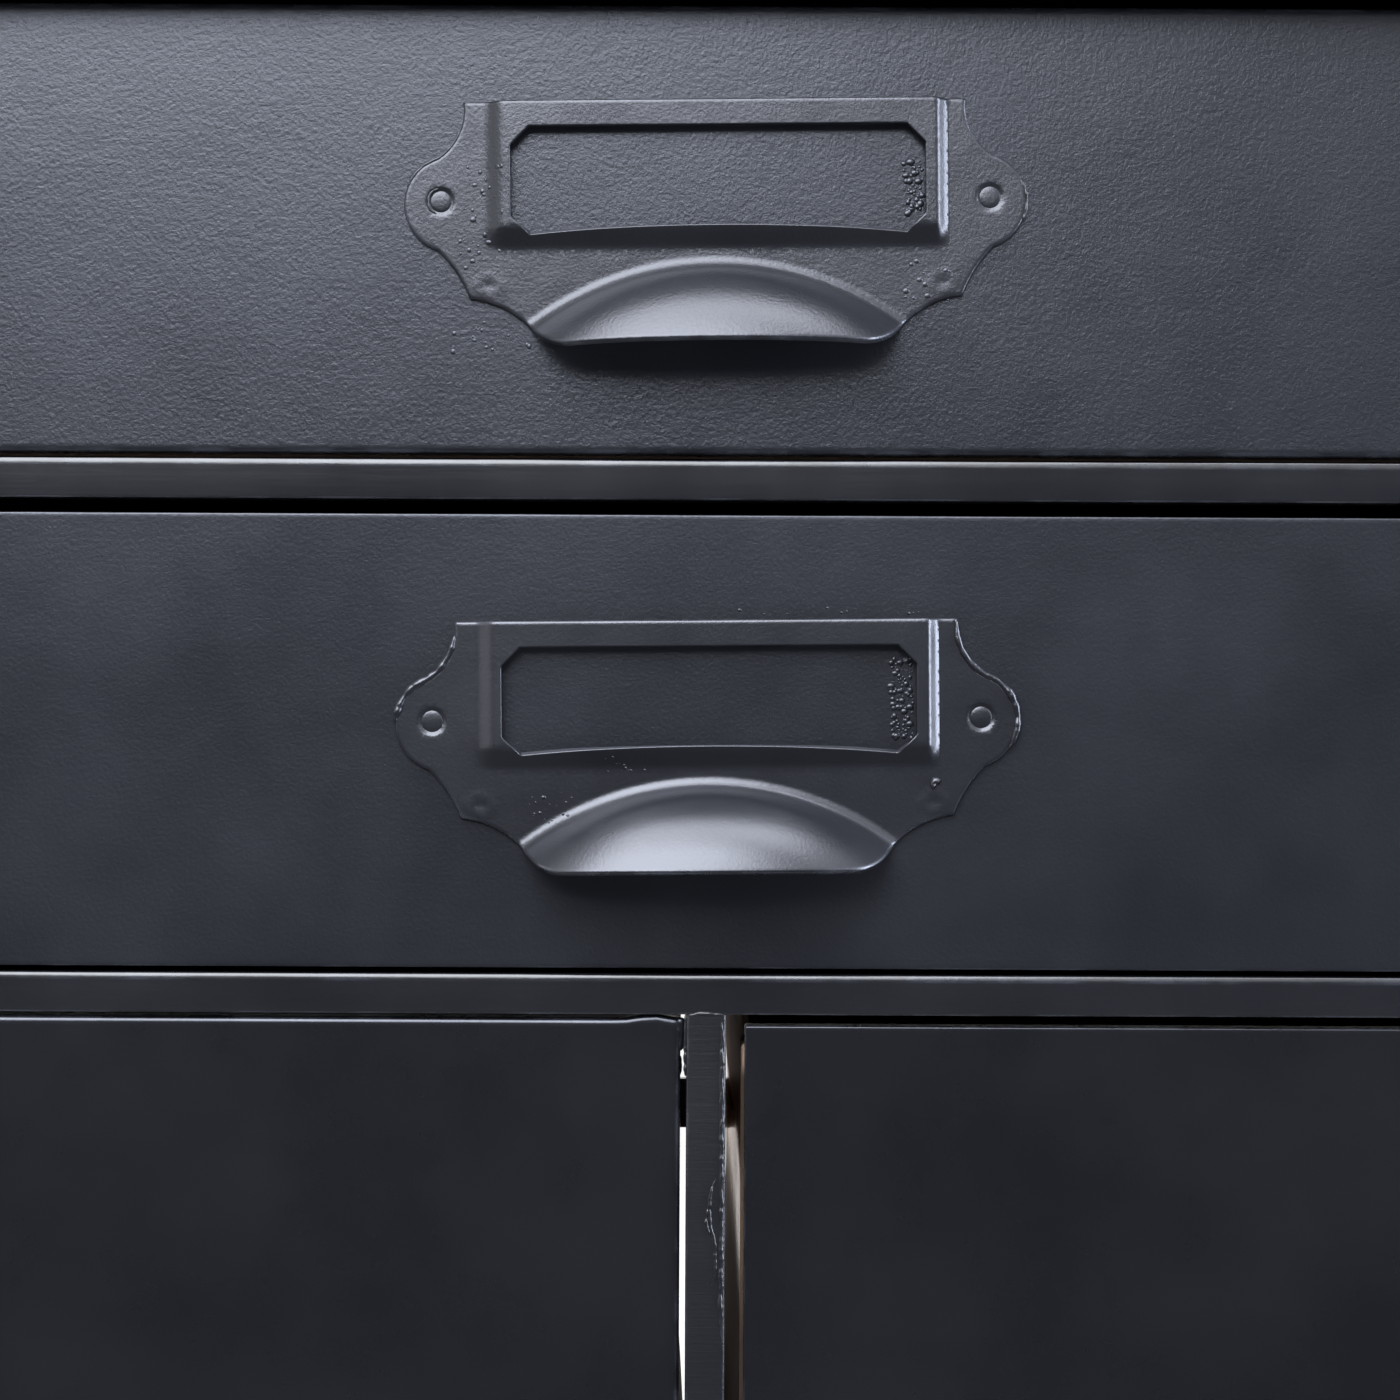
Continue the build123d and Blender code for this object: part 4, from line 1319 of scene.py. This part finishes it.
lengths = ("Radius", "Wander", "Lump", "Smallest", "Largest")  # inputs that are given in mm below


def inMetres(values):
    return {key: value * mm if key in lengths else value for key, value in values.items()}


def upright(x, y, z):
    # a place for beads: its origin in metres, then across and up
    return Vector((x, y, z)), axes["x"], axes["z"]


def growBeads(name, place, paths, finish, body, values):
    # paths hold (u, z, out) in mm
    points, edges = [], []
    for path in paths:
        edges += [(len(points) + i, len(points) + i + 1) for i in range(len(path) - 1)]
        points += placed(path, *place, -axes["y"])
    growPiece(beads, name, points, edges, [], finish, inMetres(values), body)


def growSpecks(name, place, patches, body, values):
    # patches are grids of rows of (u, z, out) in mm
    points, faces = [], []
    for rows in patches:
        wide = len(rows[0])
        base = len(points)
        for row in rows:
            points += placed(row, *place, -axes["y"])
        for j in range(len(rows) - 1):
            for i in range(wide - 1):
                a = base + j * wide + i
                faces.append((a, a + 1, a + wide + 1, a + wide))
    growPiece(specks, name, points, [], faces, "nibPaint", inMetres(values), body)


def rimPath(side, high, low, out=0.85):
    # along the outline of one ear between two heights
    return [(x, z, out) for x, z in pullOutline() if x * side > 38 and low < z < high]


def ringPath(x, z, radius, start, end, out):
    steps = max(3, int(abs(end - start) / 12))
    turns = [radians(start + (end - start) * k / steps) for k in range(steps + 1)]
    return [(x + radius * cos(turn), z + radius * sin(turn), out) for turn in turns]


def patch(name, left, low, right, high, onPull=True, cells=4):
    look = pullLooks[name]
    rows = []
    for j in range(cells + 1):
        z = low + (high - low) * j / cells
        us = [left + (right - left) * i / cells for i in range(cells + 1)]
        rows.append([(u, z, pullHeight(u, z, look) if onPull else pull["clearance"]) for u in us])
    return rows


# what paint and dirt have left on the two wide drawers: (u, z) in mm on the pull, as for its outline
marks = {
    "upper": {
        "beads": [rimPath(1, 2.5, -4), rimPath(-1, 12, 2), ringPath(-44, 0, 2.1, 100, 250, 0.95)],
        "bead": {"Radius": 0.22, "Wander": 0.3, "Lump": 1.0, "Seed": 2.0},
        "dirt": [patch("upper", 30.3, -2.5, 33.3, 6.5, False)],
        "dirtSize": {"Density": 3.2e6, "Smallest": 0.12, "Largest": 0.60, "Flat": 0.42, "Seed": 4},
        "nibs": [patch("upper", -42.6, -24, -25, -19.3, False), patch("upper", -41, -12, -34, 6),
                 patch("upper", 30, -17, 38, -10)],
        "nibSize": {"Density": 0.40e6, "Smallest": 0.12, "Largest": 0.50, "Flat": 0.22, "Seed": 6},
    },
    "middle": {
        "beads": [rimPath(-1, 14, -0.5), rimPath(1, 15.5, -5), ringPath(36.7, -10.6, 0.5, 0, 270, 1.0)],
        "bead": {"Radius": 0.58, "Wander": 0.6, "Lump": 2.3, "Ripple": 0.4, "Seed": 3.0},
        "dirt": [patch("middle", 29.6, -3.4, 33.3, 9.5, False)],
        "dirtSize": {"Density": 3.0e6, "Smallest": 0.12, "Largest": 0.55, "Flat": 0.45, "Seed": 5},
        "nibs": [patch("middle", 4.5, 16.7, 37, 17.8, False), patch("middle", -29, -16.5, -21, -11.4),
                 patch("middle", -17, -8.5, -8, -5.8)],
        "nibSize": {"Density": 0.36e6, "Smallest": 0.08, "Largest": 0.30, "Flat": 0.4, "Seed": 7},
    },
}
for name, mark in marks.items():
    place, body = pullPlace(name), f"{name}_drawer"
    growBeads(f"{name}PaintBeads", place, mark["beads"], pullLooks[name]["finish"], body,
              mark["bead"])
    growSpecks(f"{name}WindowDirt", place, mark["dirt"], body, mark["dirtSize"])
    growSpecks(f"{name}Nibs", place, mark["nibs"], body, mark["nibSize"])

# the lump of weld on the left deep front's corner
low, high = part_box("lower_left_front")
lump = [
    [(-0.1, 0.2, -0.7), (0.25, -0.6, -0.7), (0.3, -2.2, -0.8), (0.2, -3.8, -0.9), (0.0, -5.4, -1.1)],
    [(-0.3, -6.0, -2.0), (-0.25, -8.0, -2.1), (-0.3, -9.6, -2.2)],
]
growBeads("cornerLump", upright(high.x, low.y, high.z), lump, "smoothPaint", "lower_left_drawer",
          {"Radius": 0.74, "Wander": 0.3, "Lump": 2.0, "Ripple": 0.25, "Seed": 5.0})

# on the mullion: the rough bead down its right edge, drips, the weld at its top and a run down its left edge
low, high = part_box("mullion")
corner = upright(high.x, low.y, high.z)
edgeRun = [(-0.65 - 0.1 * sin(k * 1.7), -0.3 - k * 1.2, -0.10) for k in range(44)]
drips = [
    [(-1.4, -26, -0.1), (-2.2, -28, -0.08), (-2.6, -31, -0.06), (-2.3, -34, -0.08), (-1.6, -37, -0.08),
     (-1.5, -43, -0.1)],
    [(-2.8, -31, -0.1), (-3.0, -33.5, -0.08), (-2.4, -35.5, -0.1)],
    [(-6.2, -0.2, -0.12), (-4.4, 0.15, -0.1), (-2.2, 0.1, -0.1), (-0.4, -0.1, -0.12)],
    [(-6.4, 0.4, -0.5), (-6.45, -2, -0.5), (-6.5, -6, -0.6), (-6.5, -10, -0.7)],
]
growBeads("mullionBead", corner, [edgeRun], "mullionPaint", "case",
          {"Radius": 0.40, "Wander": 0.45, "Lump": 1.5, "Ripple": 0.4, "Seed": 6.0})
growBeads("mullionDrips", corner, drips, "mullionPaint", "case",
          {"Radius": 0.30, "Wander": 0.5, "Lump": 1.3, "Ripple": 0.45, "Seed": 8.0})

# dressed welds where the bars meet, and tacks along the side panels, mm
weld = {"x": 193.65, "down": 0.5, "step": 0.9, "points": 7}
tack = {"x": 194.7, "inset": 0.1, "lowest": 50, "apart": 64, "count": 5, "step": 1.1, "points": 6}


def railWelds(rails, out):
    # a short run at each end of every rail
    runs = []
    for side in (-1, 1):
        for node in rails:
            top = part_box(node)[1].z / mm - weld["down"]
            runs.append([(side * weld["x"], top - k * weld["step"], out) for k in range(weld["points"])])
    return runs


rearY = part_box("rear_post_left")[1].y
growBeads("frontWelds", upright(0, faceY, 0), railWelds(frontRails, -0.14), "framePaint", "case",
          {"Radius": 0.34, "Wander": 0.3, "Seed": 9.0})
growBeads("rearWelds", upright(0, rearY - 0.1 * mm, 0), railWelds(rearRails, 0.0), "framePaint", "case",
          {"Radius": 0.3, "Wander": 0.3, "Seed": 10.0})
tacks = []
low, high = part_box("side_panel_left")
for side in (-1, 1):
    for y in (low.y / mm + tack["inset"], high.y / mm - tack["inset"]):
        for k in range(tack["count"]):
            z = tack["lowest"] + tack["apart"] * k
            tacks.append([(side * tack["x"], z + tack["step"] * i, -y) for i in range(tack["points"])])
growBeads("panelTacks", upright(0, 0, 0), tacks, "framePaint", "case",
          {"Radius": 0.8, "Wander": 0.4, "Lump": 1.6, "Seed": 11.0})
print("beads and specks grown")

# CAD nodes that keep their shape get their finish here
kept = {
    "boxSteel": ["upper_box", "middle_box"] + [f"{name}_box_ends" for name in drawers],
    "runnerSteel": ["centre_runner", "centre_guide"]
    + [f"{level}_runner_{side}" for level in ("upper", "middle", "lower") for side in ("left", "right")],
    "casePaint": ["bottom_panel", "middle_dust_sheet", "upper_dust_sheet"],
    "footRubber": ["feet"],
}
for finish, nodes in kept.items():
    for node in nodes:
        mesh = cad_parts[node].data
        mesh.materials.clear()
        mesh.materials.append(finishes[finish])
print("CAD nodes finished")
